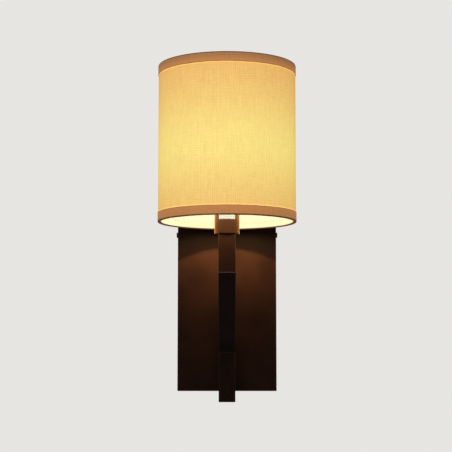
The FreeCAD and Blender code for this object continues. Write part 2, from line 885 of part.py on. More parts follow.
def make_arm_clamp_bar():
    """Tapped bar inside the arm's foot, with a hole for the wires."""
    body = add_body("arm_clamp_bar")
    back = s.plate_depth + s.arm_wall
    face = add_sketch(body, "bar_face", "XZ_Plane", back)
    wide = s.clamp_bar_width * half
    reach = s.arm_screw_spacing * half + s.clamp_bar_end
    centre = arm_screw_middle
    add_box_outline(face, -wide, wide, centre - reach, centre + reach)
    pad(body, face, s.clamp_bar_sheet, "bar_block")
    holes = add_sketch(body, "bar_holes", "XZ_Plane", back)
    apart = s.arm_screw_spacing * half
    add_circle(holes, 0, centre - apart, s.arm_screw_diameter)
    add_circle(holes, 0, centre + apart, s.arm_screw_diameter)
    add_circle(holes, 0, centre, s.grommet_flange - s.grommet_wall)
    pocket(body, holes, s.clamp_bar_sheet + s.overrun, "bar_hole_cut", backwards=True)
    return body


def arm_screw_heights():
    centre = arm_screw_middle
    apart = s.arm_screw_spacing * half
    return [centre - apart, centre + apart]


def make_arm_screws():
    seat = plate_inside - s.arm_washer_sheet
    places = [
        (FreeCAD.Vector(0, -seat.number, height.number), FreeCAD.Vector(0, -1, 0))
        for height in arm_screw_heights()
    ]
    return screws(
        "arm_screws", places, s.arm_screw_diameter, s.arm_screw_length,
        s.arm_screw_head, s.arm_screw_head_height,
    )


def make_arm_washers():
    out = FreeCAD.Vector(0, 1, 0)
    sheet = s.arm_washer_sheet.number
    hole = (s.arm_screw_diameter * half + s.arm_screw_hole_gap).number
    solids = []
    for height in arm_screw_heights():
        point = FreeCAD.Vector(0, -plate_inside.number, height.number)
        disc = Part.makeCylinder(s.arm_washer_diameter.number * half, sheet, point, out)
        solids.append(disc.cut(Part.makeCylinder(hole, sheet, point, out)).Solids[0])
    return solid_feature("arm_washers", Part.makeCompound(solids))


def make_wire_grommet():
    """Bush through the plate and the arm's wall, flanged inside the plate."""
    body = add_body("wire_grommet")
    centre = arm_screw_middle
    flange = add_sketch(body, "grommet_flange_face", "XZ_Plane", plate_inside)
    add_circle(flange, 0, centre, s.grommet_flange)
    pad(body, flange, s.grommet_flange_sheet, "grommet_flange_pad", backwards=True)
    neck = add_sketch(body, "grommet_neck_face", "XZ_Plane", plate_inside)
    add_circle(neck, 0, centre, s.grommet_bore + s.grommet_wall * 2)
    reach = s.plate_sheet + s.arm_wall
    pad(body, neck, reach, "grommet_neck_pad")
    bore = add_sketch(body, "grommet_bore_face", "XZ_Plane")
    add_circle(bore, 0, centre, s.grommet_bore)
    pocket(body, bore, s.plate_depth + s.arm_wall + s.overrun, "grommet_bore_cut", backwards=True)
    return body


def make_arm_top_plug():
    """Square plug in the arm's top end, tapped for the nipple."""
    body = add_body("arm_top_plug", column_depth, arm_top)
    face = add_sketch(body, "plug_face", "XY_Plane")
    inner = arm_half - s.arm_wall - s.plug_gap
    add_box_outline(face, -inner, inner, -inner, inner)
    pad(body, face, s.plug_height, "plug_block", backwards=True)
    hole = add_sketch(body, "plug_hole", "XY_Plane")
    add_circle(hole, 0, 0, s.nipple_diameter + s.thread_gap * 2)
    pocket(body, hole, s.plug_height + s.overrun, "plug_hole_cut")
    return body


def tube_corners(inner, outer, low, high):
    return [(inner, low), (outer, low), (outer, high), (inner, high)]


def make_threaded_nipple():
    body = add_body("threaded_nipple", column_depth, arm_top)
    low = s.nipple_above_plug - s.nipple_length
    corners = tube_corners(s.nipple_bore * half, s.nipple_diameter * half, low, s.nipple_above_plug)
    turned(body, "nipple_tube", corners)
    return body


def make_socket_cup():
    """Turned cup with a rounded lower corner and a hole for the nipple."""
    body = add_body("socket_cup", column_depth, cup_bottom)
    outer = s.cup_diameter * half
    inner = outer - s.cup_wall
    hole = s.nipple_diameter * half + s.thread_gap
    corners = [
        (hole, 0),
        (outer - s.cup_corner, 0),
        (outer, s.cup_corner),
        (outer, s.cup_height),
        (inner, s.cup_height),
        (inner, s.cup_floor),
        (hole, s.cup_floor),
    ]
    turned(body, "cup_shell", corners, {1: s.cup_corner})
    return body


def make_nipple_washer():
    body = add_body("nipple_washer", column_depth, cup_bottom + s.cup_floor)
    hole = s.nipple_diameter * half + s.thread_gap
    turned(body, "washer_disc", tube_corners(hole, s.washer_diameter * half, 0, s.washer_sheet))
    return body


def make_nipple_nut():
    """Thin hexagon nut, across its flats as the sheet says."""
    body = add_body("nipple_nut", column_depth, cup_bottom + s.cup_floor + s.washer_sheet)
    face = add_sketch(body, "nut_face", "XY_Plane")
    flat = s.nut_across * half
    corner = flat / cosine(as_size(circle_turn) / nut_sides * half)
    aside = corner * half
    add_outline(face, [
        (corner, 0), (aside, flat), (-aside, flat), (-corner, 0), (-aside, -flat), (aside, -flat),
    ])
    pad(body, face, s.nut_height, "nut_block")
    hole = add_sketch(body, "nut_hole", "XY_Plane")
    add_circle(hole, 0, 0, s.nipple_diameter + s.thread_gap * 2)
    pocket(body, hole, s.nut_height + s.overrun, "nut_hole_cut", backwards=True)
    return body


def make_holder_cap():
    """Domed cap that screws on the nipple and closes the holder from below."""
    body = add_body("holder_cap", column_depth, cup_bottom)
    hole = s.nipple_diameter * half + s.thread_gap
    neck = s.holder_neck_diameter * half
    outer = s.holder_cap_diameter * half
    inner = outer - s.holder_cap_wall
    bend = s.holder_cap_round
    inner_bend = bend - s.holder_cap_wall
    corners = [
        (hole, holder_cap_low),
        (neck, holder_cap_low),
        (neck, holder_cap_shoulder),
        (outer - bend, holder_cap_shoulder),
        (outer, holder_cap_shoulder + bend),
        (outer, s.cup_height - s.thread_gap),
        (inner, s.cup_height - s.thread_gap),
        (inner, holder_cap_ledge + inner_bend),
        (inner - inner_bend, holder_cap_ledge),
        (hole, holder_cap_ledge),
    ]
    turned(body, "cap_shell", corners, {3: bend, 7: -inner_bend})
    return body


def make_holder_body():
    """Threaded barrel of the holder: a spigot in the cap, the flange on the cup's rim,
    the outside thread for the clamp ring and a wide mouth for the bulb."""
    body = add_body("holder_body", column_depth, cup_bottom)
    spigot = s.holder_spigot * half
    bore = s.holder_bore * half
    thread = s.holder_thread_diameter * half
    flange = s.holder_flange_diameter * half
    mouth = s.holder_mouth * half
    mouth_floor = s.holder_top - s.holder_mouth_depth
    corners = [
        (bore, s.core_top + s.thread_gap),
        (spigot, s.core_top + s.thread_gap),
        (spigot, s.cup_height),
        (flange, s.cup_height),
        (flange, flange_top),
        (thread, flange_top),
        (thread, s.holder_top),
        (mouth, s.holder_top),
        (mouth, mouth_floor),
        (bore, mouth_floor),
    ]
    turned(body, "barrel_shell", corners)
    return body


def make_holder_core():
    """Insulating core that carries the contacts. Its foot ring stands in the cap and
    leaves room under the core for the ends of the wires."""
    body = add_body("holder_core", column_depth, cup_bottom)
    foot = s.core_foot * half
    turned(body, "core_block", [
        (0, s.core_bottom),
        (foot - s.core_foot_wall, s.core_bottom),
        (foot - s.core_foot_wall, holder_cap_ledge + s.thread_gap),
        (foot, holder_cap_ledge + s.thread_gap),
        (foot, s.core_bottom),
        (s.core_diameter * half, s.core_bottom),
        (s.core_diameter * half, s.core_top),
        (0, s.core_top),
    ])
    return body


def make_screw_shell():
    """Thin metal shell inside the barrel that takes the bulb's cap."""
    body = add_body("screw_shell", column_depth, cup_bottom)
    inner = s.shell_inner * half
    outer = inner + s.shell_sheet
    top = s.holder_top - s.holder_mouth_depth
    turned(body, "shell_tube", tube_corners(inner, outer, s.core_top, top))
    return body


def make_centre_contact():
    """Bent spring strip on the core that meets the bulb's tip."""
    body = add_body("centre_contact", column_depth, cup_bottom + core_top)
    side = add_sketch(body, "contact_side_view", "XZ_Plane")
    reach = s.contact_reach
    sheet = s.contact_sheet
    rise = s.contact_rise
    crown = reach * half
    add_outline(side, [
        (-reach, 0),
        (-crown, 0),
        (crown - sheet, rise - sheet),
        (reach, rise - sheet),
        (reach, rise),
        (crown - sheet * 2, rise),
        (-crown - sheet, sheet),
        (-reach, sheet),
    ])
    pad(body, side, s.contact_width, "contact_strip", both_ways=True)
    return body


def make_shade_clamp_ring():
    """Ring nut with grip notches, which holds the shade carrier on the flange."""
    body = add_body("shade_clamp_ring", column_depth, cup_bottom + clamp_ring_bottom)
    inner = s.holder_thread_diameter * half + s.thread_gap
    outer = s.clamp_ring_diameter * half
    corner = s.clamp_ring_round
    turned(body, "ring_block", [
        (inner, 0),
        (outer, 0),
        (outer, s.clamp_ring_height - corner),
        (outer - corner, s.clamp_ring_height),
        (inner, s.clamp_ring_height),
    ], {2: corner})
    grip = add_sketch(body, "ring_grip", "XY_Plane")
    reach = outer + s.clamp_ring_grip_diameter * half - s.clamp_ring_grip_depth
    add_circle(grip, reach, 0, s.clamp_ring_grip_diameter)
    cut = pocket(body, grip, s.clamp_ring_height + s.overrun, "ring_grip_cut", backwards=True)
    polar(body, cut, s.clamp_ring_grip_count, "ring_grips_round")
    return body


def shade_body(label, turn=None):
    return add_body(label, column_depth, shade_bottom, turn)


def carrier_turn():
    """Turns the first carrier arm from +X to the front."""
    return -as_size(circle_turn) * quarter


def make_shade_liner():
    body = shade_body("shade_liner")
    edge = s.hem_sheet + s.laminate_gap
    high = s.shade_height - edge
    turned(body, "liner_sheet_round", tube_corners(liner_inner, liner_outer, edge, high))
    return body


def make_shade_fabric():
    """Linen drum with the lap seam standing a little proud of it between the hems."""
    seam_turn = s.seam_width / fabric_outer * circle_turn / (2 * math.pi)
    turn = as_size(circle_turn) * quarter - s.seam_angle - seam_turn * half
    body = shade_body("shade_fabric", turn)
    edge = s.hem_sheet + s.laminate_gap
    high = s.shade_height - edge
    turned(body, "fabric_drum", tube_corners(fabric_inner, fabric_outer, edge, high))
    lap = add_sketch(body, "seam_outline", "XZ_Plane")
    middle = fabric_inner + s.fabric_sheet * half
    add_outline(lap, tube_corners(
        middle, fabric_outer + s.seam_sheet, s.hem_height, s.shade_height - s.hem_height,
    ))
    seam = body.newObject("PartDesign::Revolution", "lap_seam")
    seam.Profile = lap
    seam.ReferenceAxis = (lap, ["V_Axis"])
    seam.setExpression("Angle", seam_turn.formula)
    doc.recompute()
    return body


def hem_outline(flip):
    """Section of a hem: down the outside of the fabric, under its edge, round the wire
    ring and back up the liner. flip gives the height of a point above the shade's
    bottom, so that the top hem is the same section upside down."""
    sheet = s.hem_sheet
    wire = ring_wire_radius + s.hem_wrap_gap
    lift = wire_ring_height
    lap = lift + s.hem_turn
    tuck = liner_inner - s.laminate_gap
    inner_wrap = wire_ring_radius - wire
    corners = [
        (shade_radius, s.hem_height),
        (shade_radius, sheet),
        (shade_radius - sheet, as_size(0)),
        (wire_ring_radius, as_size(0)),
        (inner_wrap - sheet, lift),
        (inner_wrap - sheet, lift + wire),
        (tuck - sheet, lap + wire),
        (tuck - sheet, s.hem_tuck),
        (tuck, s.hem_tuck),
        (tuck, lap + wire),
        (inner_wrap, lift + wire),
        (inner_wrap, lift),
        (wire_ring_radius, sheet),
        (shade_radius - sheet, sheet),
        (shade_radius - sheet, s.hem_height),
    ]
    return [(across, flip(up)) for across, up in corners]


def make_bottom_hem():
    """Folded hem, notched on the inside where the three carrier arms come down."""
    body = shade_body("shade_bottom_hem", carrier_turn())
    wire = ring_wire_radius + s.hem_wrap_gap
    arcs = {1: -s.hem_sheet, 3: -(wire + s.hem_sheet), 11: wire}
    turned(body, "bottom_hem_round", hem_outline(lambda up: up), arcs)
    notch = add_sketch(body, "hem_notch", "XY_Plane", wire_ring_height)
    wide = s.carrier_wire * half + s.notch_gap
    deep = s.ring_wire + s.hem_sheet + s.overrun
    add_box_outline(notch, liner_inner - deep, liner_inner, -wide, wide)
    cut = pocket(body, notch, s.hem_tuck, "hem_notch_cut", backwards=True)
    polar(body, cut, s.carrier_arm_count, "hem_notches_round")
    return body


def make_top_hem():
    body = shade_body("shade_top_hem")
    wire = ring_wire_radius + s.hem_wrap_gap
    arcs = {1: s.hem_sheet, 3: wire + s.hem_sheet, 11: -wire}
    turned(body, "top_hem_round", hem_outline(lambda up: s.shade_height - up), arcs)
    return body


def add_wire_ring(body, name, height):
    sketch = add_sketch(body, name + "_section", "XZ_Plane")
    add_circle(sketch, wire_ring_radius, height, s.ring_wire)
    feature = body.newObject("PartDesign::Revolution", name)
    feature.Profile = sketch
    feature.ReferenceAxis = (sketch, ["V_Axis"])
    feature.Angle = circle_turn
    doc.recompute()
    return feature


def make_top_ring():
    body = shade_body("shade_top_ring")
    add_wire_ring(body, "top_ring_wire", s.shade_height - wire_ring_height)
    return body


def make_bottom_ring():
    body = shade_body("shade_bottom_ring")
    add_wire_ring(body, "bottom_ring_wire", wire_ring_height)
    return body


def make_carrier_arms():
    """Three bent wires. Each stands on the bottom ring, goes up close to the liner and
    turns in level to the edge of the flat ring."""
    body = shade_body("carrier_arms", carrier_turn())
    wire = s.carrier_wire
    level = s.carrier_recess + s.carrier_ring_sheet * half
    leg = liner_inner - s.carrier_liner_gap - wire * half
    foot = wire_ring_height + ring_wire_radius
    bend = s.carrier_bend
    path = add_sketch(body, "carrier_arm_path", "XZ_Plane")
    corners = [(leg, foot), (leg, level - bend), (leg - bend, level), (carrier_ring_outer, level)]
    add_outline(path, corners, {1: bend}, closed=False)
    section = add_sketch(body, "carrier_arm_section", "XY_Plane", foot)
    add_circle(section, leg, 0, wire)
    pipe = body.newObject("PartDesign::AdditivePipe", "carrier_arm")
    pipe.Profile = section
    pipe.Spine = path
    doc.recompute()
    polar(body, pipe, s.carrier_arm_count, "carrier_arms_round")
    return body


def make_carrier_ring():
    """Flat ring that the clamp ring presses on the flange of the holder."""
    body = shade_body("carrier_ring")
    top = s.carrier_recess + s.carrier_ring_sheet
    section = tube_corners(carrier_ring_inner, carrier_ring_outer, s.carrier_recess, top)
    turned(body, "carrier_ring_sheet", section)
    return body


def bulb_body(label):
    return add_body(label, column_depth, bulb_bottom)


def make_bulb_glass():
    """Golf ball envelope, hollow: a ball, a flare and the straight neck in the holder."""
    body = bulb_body("bulb_glass")
    ball = s.bulb_diameter * half
    middle = bulb_middle
    core = ball - s.bulb_wall
    rise = math.sqrt(1 - bulb_shoulder_share * bulb_shoulder_share)
    neck = s.bulb_neck * half
    corners = [
        (neck, s.bulb_neck_height),
        (neck, bulb_flare),
        (ball * bulb_shoulder_share, middle - ball * rise),
        (ball, middle),
        (0, s.bulb_length),
        (0, s.bulb_length - s.bulb_wall),
        (core, middle),
        (core * bulb_shoulder_share, middle - core * rise),
        (neck - s.bulb_wall, bulb_flare),
        (neck - s.bulb_wall, s.bulb_neck_height),
    ]
    turned(body, "glass_shell", corners, {2: ball, 3: ball, 5: -core, 6: -core})
    return body


def make_bulb_cap():
    """Screw cap: a straight shell that flares out under the glass."""
    body = bulb_body("bulb_cap")
    outer = s.bulb_cap_diameter * half
    sheet = s.bulb_cap_sheet
    neck = s.bulb_neck * half
    turned(body, "cap_shell", [
        (outer - sheet, s.bulb_cap_bottom),
        (outer, s.bulb_cap_bottom),
        (outer, s.bulb_cap_top),
        (neck, s.bulb_neck_height),
        (neck - sheet * 2, s.bulb_neck_height),
        (outer - sheet, s.bulb_cap_top + sheet),
    ])
    return body


def make_bulb_insulator():
    body = bulb_body("bulb_insulator")
    waist = s.bulb_insulator_waist * half
    outer = s.bulb_cap_diameter * half - s.bulb_cap_sheet
    turned(body, "insulator_cone", [
        (0, s.bulb_insulator_bottom),
        (waist, s.bulb_insulator_bottom),
        (outer, s.bulb_cap_bottom),
        (0, s.bulb_cap_bottom),
    ])
    return body


def make_bulb_tip():
    """Solder dome under the insulator."""
    body = bulb_body("bulb_tip")
    radius = s.bulb_tip_diameter * half
    high = s.bulb_insulator_bottom
    dome = (radius * radius + high * high) / (high * 2)
    turned(body, "tip_dome", [(0, 0), (radius, high), (0, high)], {0: dome})
    return body


def make_bulb_stem():
    """Glass foot and rod that carry the filament."""
    body = bulb_body("bulb_stem")
    rod = s.stem_diameter * half
    foot = s.bulb_neck * half - s.bulb_wall
    low = s.bulb_neck_height
    turned(body, "stem_rod", [
        (0, low),
        (foot, low),
        (rod, low + s.stem_foot_height),
        (rod, stem_top - rod),
        (0, stem_top),
    ], {3: rod})
    return body


def rounded_wire(points, bend, diameter):
    """A round wire along straight runs through points, with an arc at each corner
    that is as large as bend, or as its runs allow."""
    edges = []
    bends = []
    last = points[0]
    for number in range(1, len(points) - 1):
        corner = points[number]
        before = (points[number - 1] - corner)
        after = (points[number + 1] - corner)
        turn = math.pi - before.getAngle(after)
        room = min(before.Length, after.Length) * wire_run_share
        radius = min(bend, room / math.tan(turn * half))
        bends.append("%.1f" % radius)
        cut = radius * math.tan(turn * half)
        into = before.normalize()
        away = after.normalize()
        first = corner + into * cut
        final = corner + away * cut
        inward = (into + away).normalize()
        to_centre = radius / math.cos(turn * half)
        middle = corner + inward * (to_centre - radius)
        edges.append(Part.LineSegment(last, first).toShape())
        edges.append(Part.Arc(first, middle, final).toShape())
        last = final
    edges.append(Part.LineSegment(last, points[-1]).toShape())
    path = Part.Wire(edges)
    direction = points[1] - points[0]
    circle = Part.makeCircle(diameter * half, points[0], direction)
    solid = path.makePipeShell([Part.Wire([circle])], True, False)
    expected = math.pi * (diameter * half) ** 2 * path.Length
    print("wire length %.1f, volume %.1f of %.1f, bends of radius %s" % (
        path.Length, solid.Volume, expected, ", ".join(bends),
    ))
    if abs(solid.Volume - expected) > expected * wire_volume_share:
        raise RuntimeError("a wire's volume isn't its section times its length")
    return solid


def lamp_wire(label, start_across, end_across):
    """One wire from the terminal block, down the plate, through the grommet and up
    the arm and the nipple to the holder's core."""
    block = s.terminal_length * half - s.terminal_skirt
    depth = s.bracket_sheet + s.terminal_axis_height
    grommet = arm_screw_middle
    top = cup_bottom + s.core_bottom
    stops = [
        (start_across, depth, -block),
        (start_across, depth, -block - s.wire_drop),
        (end_across, s.wire_depth, -block - s.wire_drop - s.wire_gather),
        (end_across, s.wire_depth, grommet),
        (end_across, arm_foot_depth, grommet),
        (end_across, arm_foot_depth, lower_bend),
        (end_across, column_depth, upper_bend),
        (end_across, column_depth, top),
    ]
    points = [
        FreeCAD.Vector(as_size(x).number, -as_size(y).number, as_size(z).number)
        for x, y, z in stops
    ]
    solid = rounded_wire(points, s.wire_bend.number, s.wire_diameter.number)
    return solid_feature(label, solid)


def make_live_wire():
    return lamp_wire("live_wire", -s.terminal_pitch, -s.wire_spacing * half)


def make_neutral_wire():
    return lamp_wire("neutral_wire", as_size(0), s.wire_spacing * half)


def make_earth_wire():
    """Short loop from the block's third way to the tag on the bracket."""
    block = s.terminal_length * half - s.terminal_skirt
    depth = s.bracket_sheet + s.terminal_axis_height
    tag_depth = s.bracket_sheet + s.earth_tag_barrel * half
    low = -block - s.earth_wire_drop
    tag_low = -(s.earth_tag_diameter * half + s.earth_tag_barrel_length)
    stops = [
        (s.terminal_pitch, depth, -block),
        (s.terminal_pitch, depth, low),
        (earth_screw_across, tag_depth, low),
        (earth_screw_across, tag_depth, tag_low),
    ]
    points = [FreeCAD.Vector(x.number, -y.number, z.number) for x, y, z in stops]
    solid = rounded_wire(points, s.earth_wire_bend.number, s.wire_diameter.number)
    return solid_feature("earth_wire", solid)


def make_bulb_filament():
    """Two supports that rise from the stem and the sagging coil between them."""
    top = filament_height.number
    aside = s.filament_width.number * half
    root_height = stem_top.number - s.stem_diameter.number
    bend = s.filament_sag.number
    points = [
        FreeCAD.Vector(-aside, 0, top),
        FreeCAD.Vector(0, 0, top - bend),
        FreeCAD.Vector(aside, 0, top),
    ]
    coil = rounded_wire(points, aside, s.filament_wire.number)
    solids = [coil]
    for side in (-1, 1):
        foot = FreeCAD.Vector(side * s.stem_diameter.number * half, 0, root_height)
        head = FreeCAD.Vector(side * aside, 0, top)
        direction = head - foot
        post = Part.makeCylinder(
            s.filament_wire.number * half, direction.Length, foot, direction
        )
        solids.append(post)
    shape = solids[0].fuse(solids[1:])
    feature = solid_feature("bulb_filament", shape)
    feature.Placement.Base = FreeCAD.Vector(0, -column_depth.number, bulb_bottom.number)
    return feature


MAKERS = (
    make_back_plate,
    make_wall_bracket,
    make_side_screws,
    make_earth_screw,
    make_earth_tag,
    make_terminal_block,
    make_terminal_sleeves,
    make_terminal_screws,
    make_fixing_screws,
    make_arm,
    make_arm_end_cap,
    make_arm_clamp_bar,
    make_arm_screws,
    make_arm_washers,
    make_wire_grommet,
    make_arm_top_plug,
    make_threaded_nipple,
    make_socket_cup,
    make_nipple_washer,
    make_nipple_nut,
    make_holder_cap,
    make_holder_body,
    make_holder_core,
    make_screw_shell,
    make_centre_contact,
    make_shade_clamp_ring,
    make_shade_liner,
    make_shade_fabric,
    make_bottom_hem,
    make_top_hem,
    make_top_ring,
    make_bottom_ring,
    make_carrier_arms,
    make_carrier_ring,
    make_bulb_glass,
    make_bulb_cap,
    make_bulb_insulator,
    make_bulb_tip,
    make_bulb_stem,
    make_bulb_filament,
    make_live_wire,
    make_neutral_wire,
    make_earth_wire,
)


def check_document(pieces):
    """Stops if any object failed or any piece has no sound solid."""
    for thing in doc.Objects:
        if "Invalid" in thing.State or "Error" in thing.State:
            raise RuntimeError(thing.Label + " is " + str(thing.State))
    for piece in pieces:
        shape = piece.Shape
        if shape.isNull() or not shape.isValid() or not shape.Solids:
            raise RuntimeError(piece.Label + " has no sound shape")


def write_pieces():
    pieces = [make() for make in MAKERS]
    doc.recompute()
    check_document(pieces)
    os.makedirs("parts", exist_ok=True)
    for piece in pieces:
        piece.Shape.exportStep("parts/" + piece.Label + ".step")
        box = piece.Shape.BoundBox
        print("%-24s %2d solid  %9.1f mm3  x %7.2f %7.2f  y %7.2f %7.2f  z %7.2f %7.2f" % (
            piece.Label, len(piece.Shape.Solids), piece.Shape.Volume,
            box.XMin, box.XMax, box.YMin, box.YMax, box.ZMin, box.ZMax,
        ))


write_pieces()
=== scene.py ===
import math

import bmesh
import bpy
import numpy as np
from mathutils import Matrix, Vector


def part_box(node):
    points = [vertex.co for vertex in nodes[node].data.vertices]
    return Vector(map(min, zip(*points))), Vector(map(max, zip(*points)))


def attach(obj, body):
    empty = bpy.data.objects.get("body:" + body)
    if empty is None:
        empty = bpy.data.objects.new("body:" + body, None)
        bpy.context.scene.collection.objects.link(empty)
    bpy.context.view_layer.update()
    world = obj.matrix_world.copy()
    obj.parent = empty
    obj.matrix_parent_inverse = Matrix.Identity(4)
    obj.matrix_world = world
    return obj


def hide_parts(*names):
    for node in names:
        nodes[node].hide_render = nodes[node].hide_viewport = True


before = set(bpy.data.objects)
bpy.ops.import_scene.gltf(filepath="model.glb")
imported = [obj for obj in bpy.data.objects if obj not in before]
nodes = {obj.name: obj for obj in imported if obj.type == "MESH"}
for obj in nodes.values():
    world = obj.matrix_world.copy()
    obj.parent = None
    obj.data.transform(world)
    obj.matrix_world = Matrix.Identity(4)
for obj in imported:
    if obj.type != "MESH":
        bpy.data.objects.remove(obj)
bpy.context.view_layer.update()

# Wall lamp. Metres, +Z up, the front of the lamp faces -Y and the wall is y = 0. The cup,
# the bulb and the shade stand on one upright line, the column.
MM = 0.001
FULL_TURN = 2 * math.pi
LOW, HIGH = 0, 1
X, Y, Z = 0, 1, 2


def side(node, end, axis):
    """Where a node's box begins or ends along an axis, to a hundredth of a millimetre."""
    return round(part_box(node)[end][axis], 5)


def middle(node, axis):
    return (side(node, LOW, axis) + side(node, HIGH, axis)) / 2


# Back plate, arm and socket cup. The arm goes out at 45 degrees between its two bends.
ARM_NECK = 40.5 * MM
PLATE_DEPTH = -side("back_plate", LOW, Y)
ARM_EDGE = side("arm", HIGH, X)
FOOT_DEPTH = PLATE_DEPTH + ARM_EDGE
COLUMN_DEPTH = -middle("socket_cup", Y)
CUP_RADIUS = side("socket_cup", HIGH, X)
UPPER_BEND = side("arm", HIGH, Z) - ARM_NECK
LOWER_BEND = UPPER_BEND - (COLUMN_DEPTH - FOOT_DEPTH)
MITRE_TURN = math.radians(45 / 2)

# Shade: cloth over a sheet, between two hems that are folded over wire rings
CLOTH = 0.5 * MM
CLOTH_GAP = 0.05 * MM
LINER_SHEET = 0.4 * MM
WIRE_RADIUS = 1 * MM
SHADE_BOTTOM = side("shade_bottom_hem", LOW, Z)
SHADE_TOP = side("shade_top_hem", HIGH, Z)
SHADE_HEIGHT = SHADE_TOP - SHADE_BOTTOM
SHADE_RADIUS = side("shade_top_hem", HIGH, X)
CLOTH_OUTER = SHADE_RADIUS - CLOTH - CLOTH_GAP
LINER_INNER = side("shade_liner", HIGH, X) - LINER_SHEET
RING_RADIUS = side("shade_top_ring", HIGH, X) - WIRE_RADIUS
RING_HEIGHT = middle("shade_bottom_ring", Z) - SHADE_BOTTOM
RING_WRAP = WIRE_RADIUS + 0.2 * MM
HEM_HEIGHT = side("shade_bottom_hem", HIGH, Z) - SHADE_BOTTOM
HEM_TUCK = 9 * MM
HEM_TURN = 3 * MM
HEM_ROUND = 0.9 * MM
SEAM_WIDTH = 10 * MM
SEAM_RISE = 0.25 * MM
SEAM_TURN = math.radians(90 - 14.5)
CARRIER_TURNS = [math.radians(turn) for turn in (-90, 30, 150)]
NOTCH_HALF = 1.7 * MM

# Bulb, and the height at which the shade glows most and how far that reaches
BULB_BOTTOM = side("bulb_tip", LOW, Z)
FILAMENT_HEIGHT = BULB_BOTTOM + 57 * MM
GLOW_HEIGHT = 84 * MM
GLOW_REACH = 85 * MM

# Colours of the paint, and those that more than one place uses
BLACK = (0.0, 0.0, 0.0)
PAINT_DARK = (0.0037, 0.00145, 0.0009)
PAINT_LIGHT = (0.0063, 0.0026, 0.0014)
# Painted highlight along the paint's edges, in the look of rubbed paint
PAINT_EDGE_HIGHLIGHT = (0.125, 0.068, 0.036)
# Painted highlight of the arm's mitre lines
PAINT_MITRE_HIGHLIGHT = (0.06, 0.043, 0.034)
BLACK_PLASTIC = ((0.014, 0.012, 0.011), (0.030, 0.026, 0.024))
STUDIO_PALE = (0.80, 0.785, 0.76)


# Shader maths
class Channel:
    """One output of a node, mostly a number that varies over a surface. Arithmetic on
    channels adds Math nodes."""

    def __init__(self, shader, socket):
        self.shader = shader
        self.socket = socket

    def __add__(self, other):
        return self.shader.maths("ADD", self, other)

    __radd__ = __add__

    def __sub__(self, other):
        return self.shader.maths("SUBTRACT", self, other)

    def __rsub__(self, other):
        return self.shader.maths("SUBTRACT", other, self)

    def __mul__(self, other):
        return self.shader.maths("MULTIPLY", self, other)

    __rmul__ = __mul__

    def __truediv__(self, other):
        return self.shader.maths("DIVIDE", self, other)

    def __pow__(self, other):
        return self.shader.maths("POWER", self, other)

    def __abs__(self):
        return self.shader.maths("ABSOLUTE", self)


class Shader:
    """The nodes of a material or of the world, with the output that they end in."""

    def __init__(self, owner, output):
        owner.use_nodes = True
        self.tree = owner.node_tree
        self.tree.nodes.clear()
        self.output = self.tree.nodes.new("ShaderNode" + output)

    def feed(self, socket, value):
        if isinstance(value, Channel):
            self.tree.links.new(value.socket, socket)
        elif socket.type == "RGBA":
            socket.default_value = (*value, 1)
        else:
            socket.default_value = value

    def show(self, surface):
        self.feed(self.output.inputs["Surface"], surface)

    def node(self, kind, settings=None, sockets=None, output=0):
        """Adds a node: its settings first, then the values or links of its sockets."""
        made = self.tree.nodes.new("ShaderNode" + kind)
        for name, value in (settings or {}).items():
            setattr(made, name, value)
        for name, value in (sockets or {}).items():
            self.feed(made.inputs[name], value)
        return Channel(self, made.outputs[output])

    def maths(self, operation, first, second=0.0):
        return self.node("Math", {"operation": operation}, {0: first, 1: second})

    def sine(self, angle):
        return self.maths("SINE", angle)

    def lower(self, first, second):
        return self.maths("MINIMUM", first, second)

    def higher(self, first, second):
        return self.maths("MAXIMUM", first, second)

    def above(self, value, limit):
        return self.maths("GREATER_THAN", value, limit)

    def seen(self):
        """1 for what the camera sees straight, mirrored or through glass, else 0."""
        camera, glossy, through = (
            self.node("LightPath", output="Is " + ray + " Ray")
            for ray in ("Camera", "Glossy", "Transmission")
        )
        return self.higher(self.higher(camera, glossy), through)


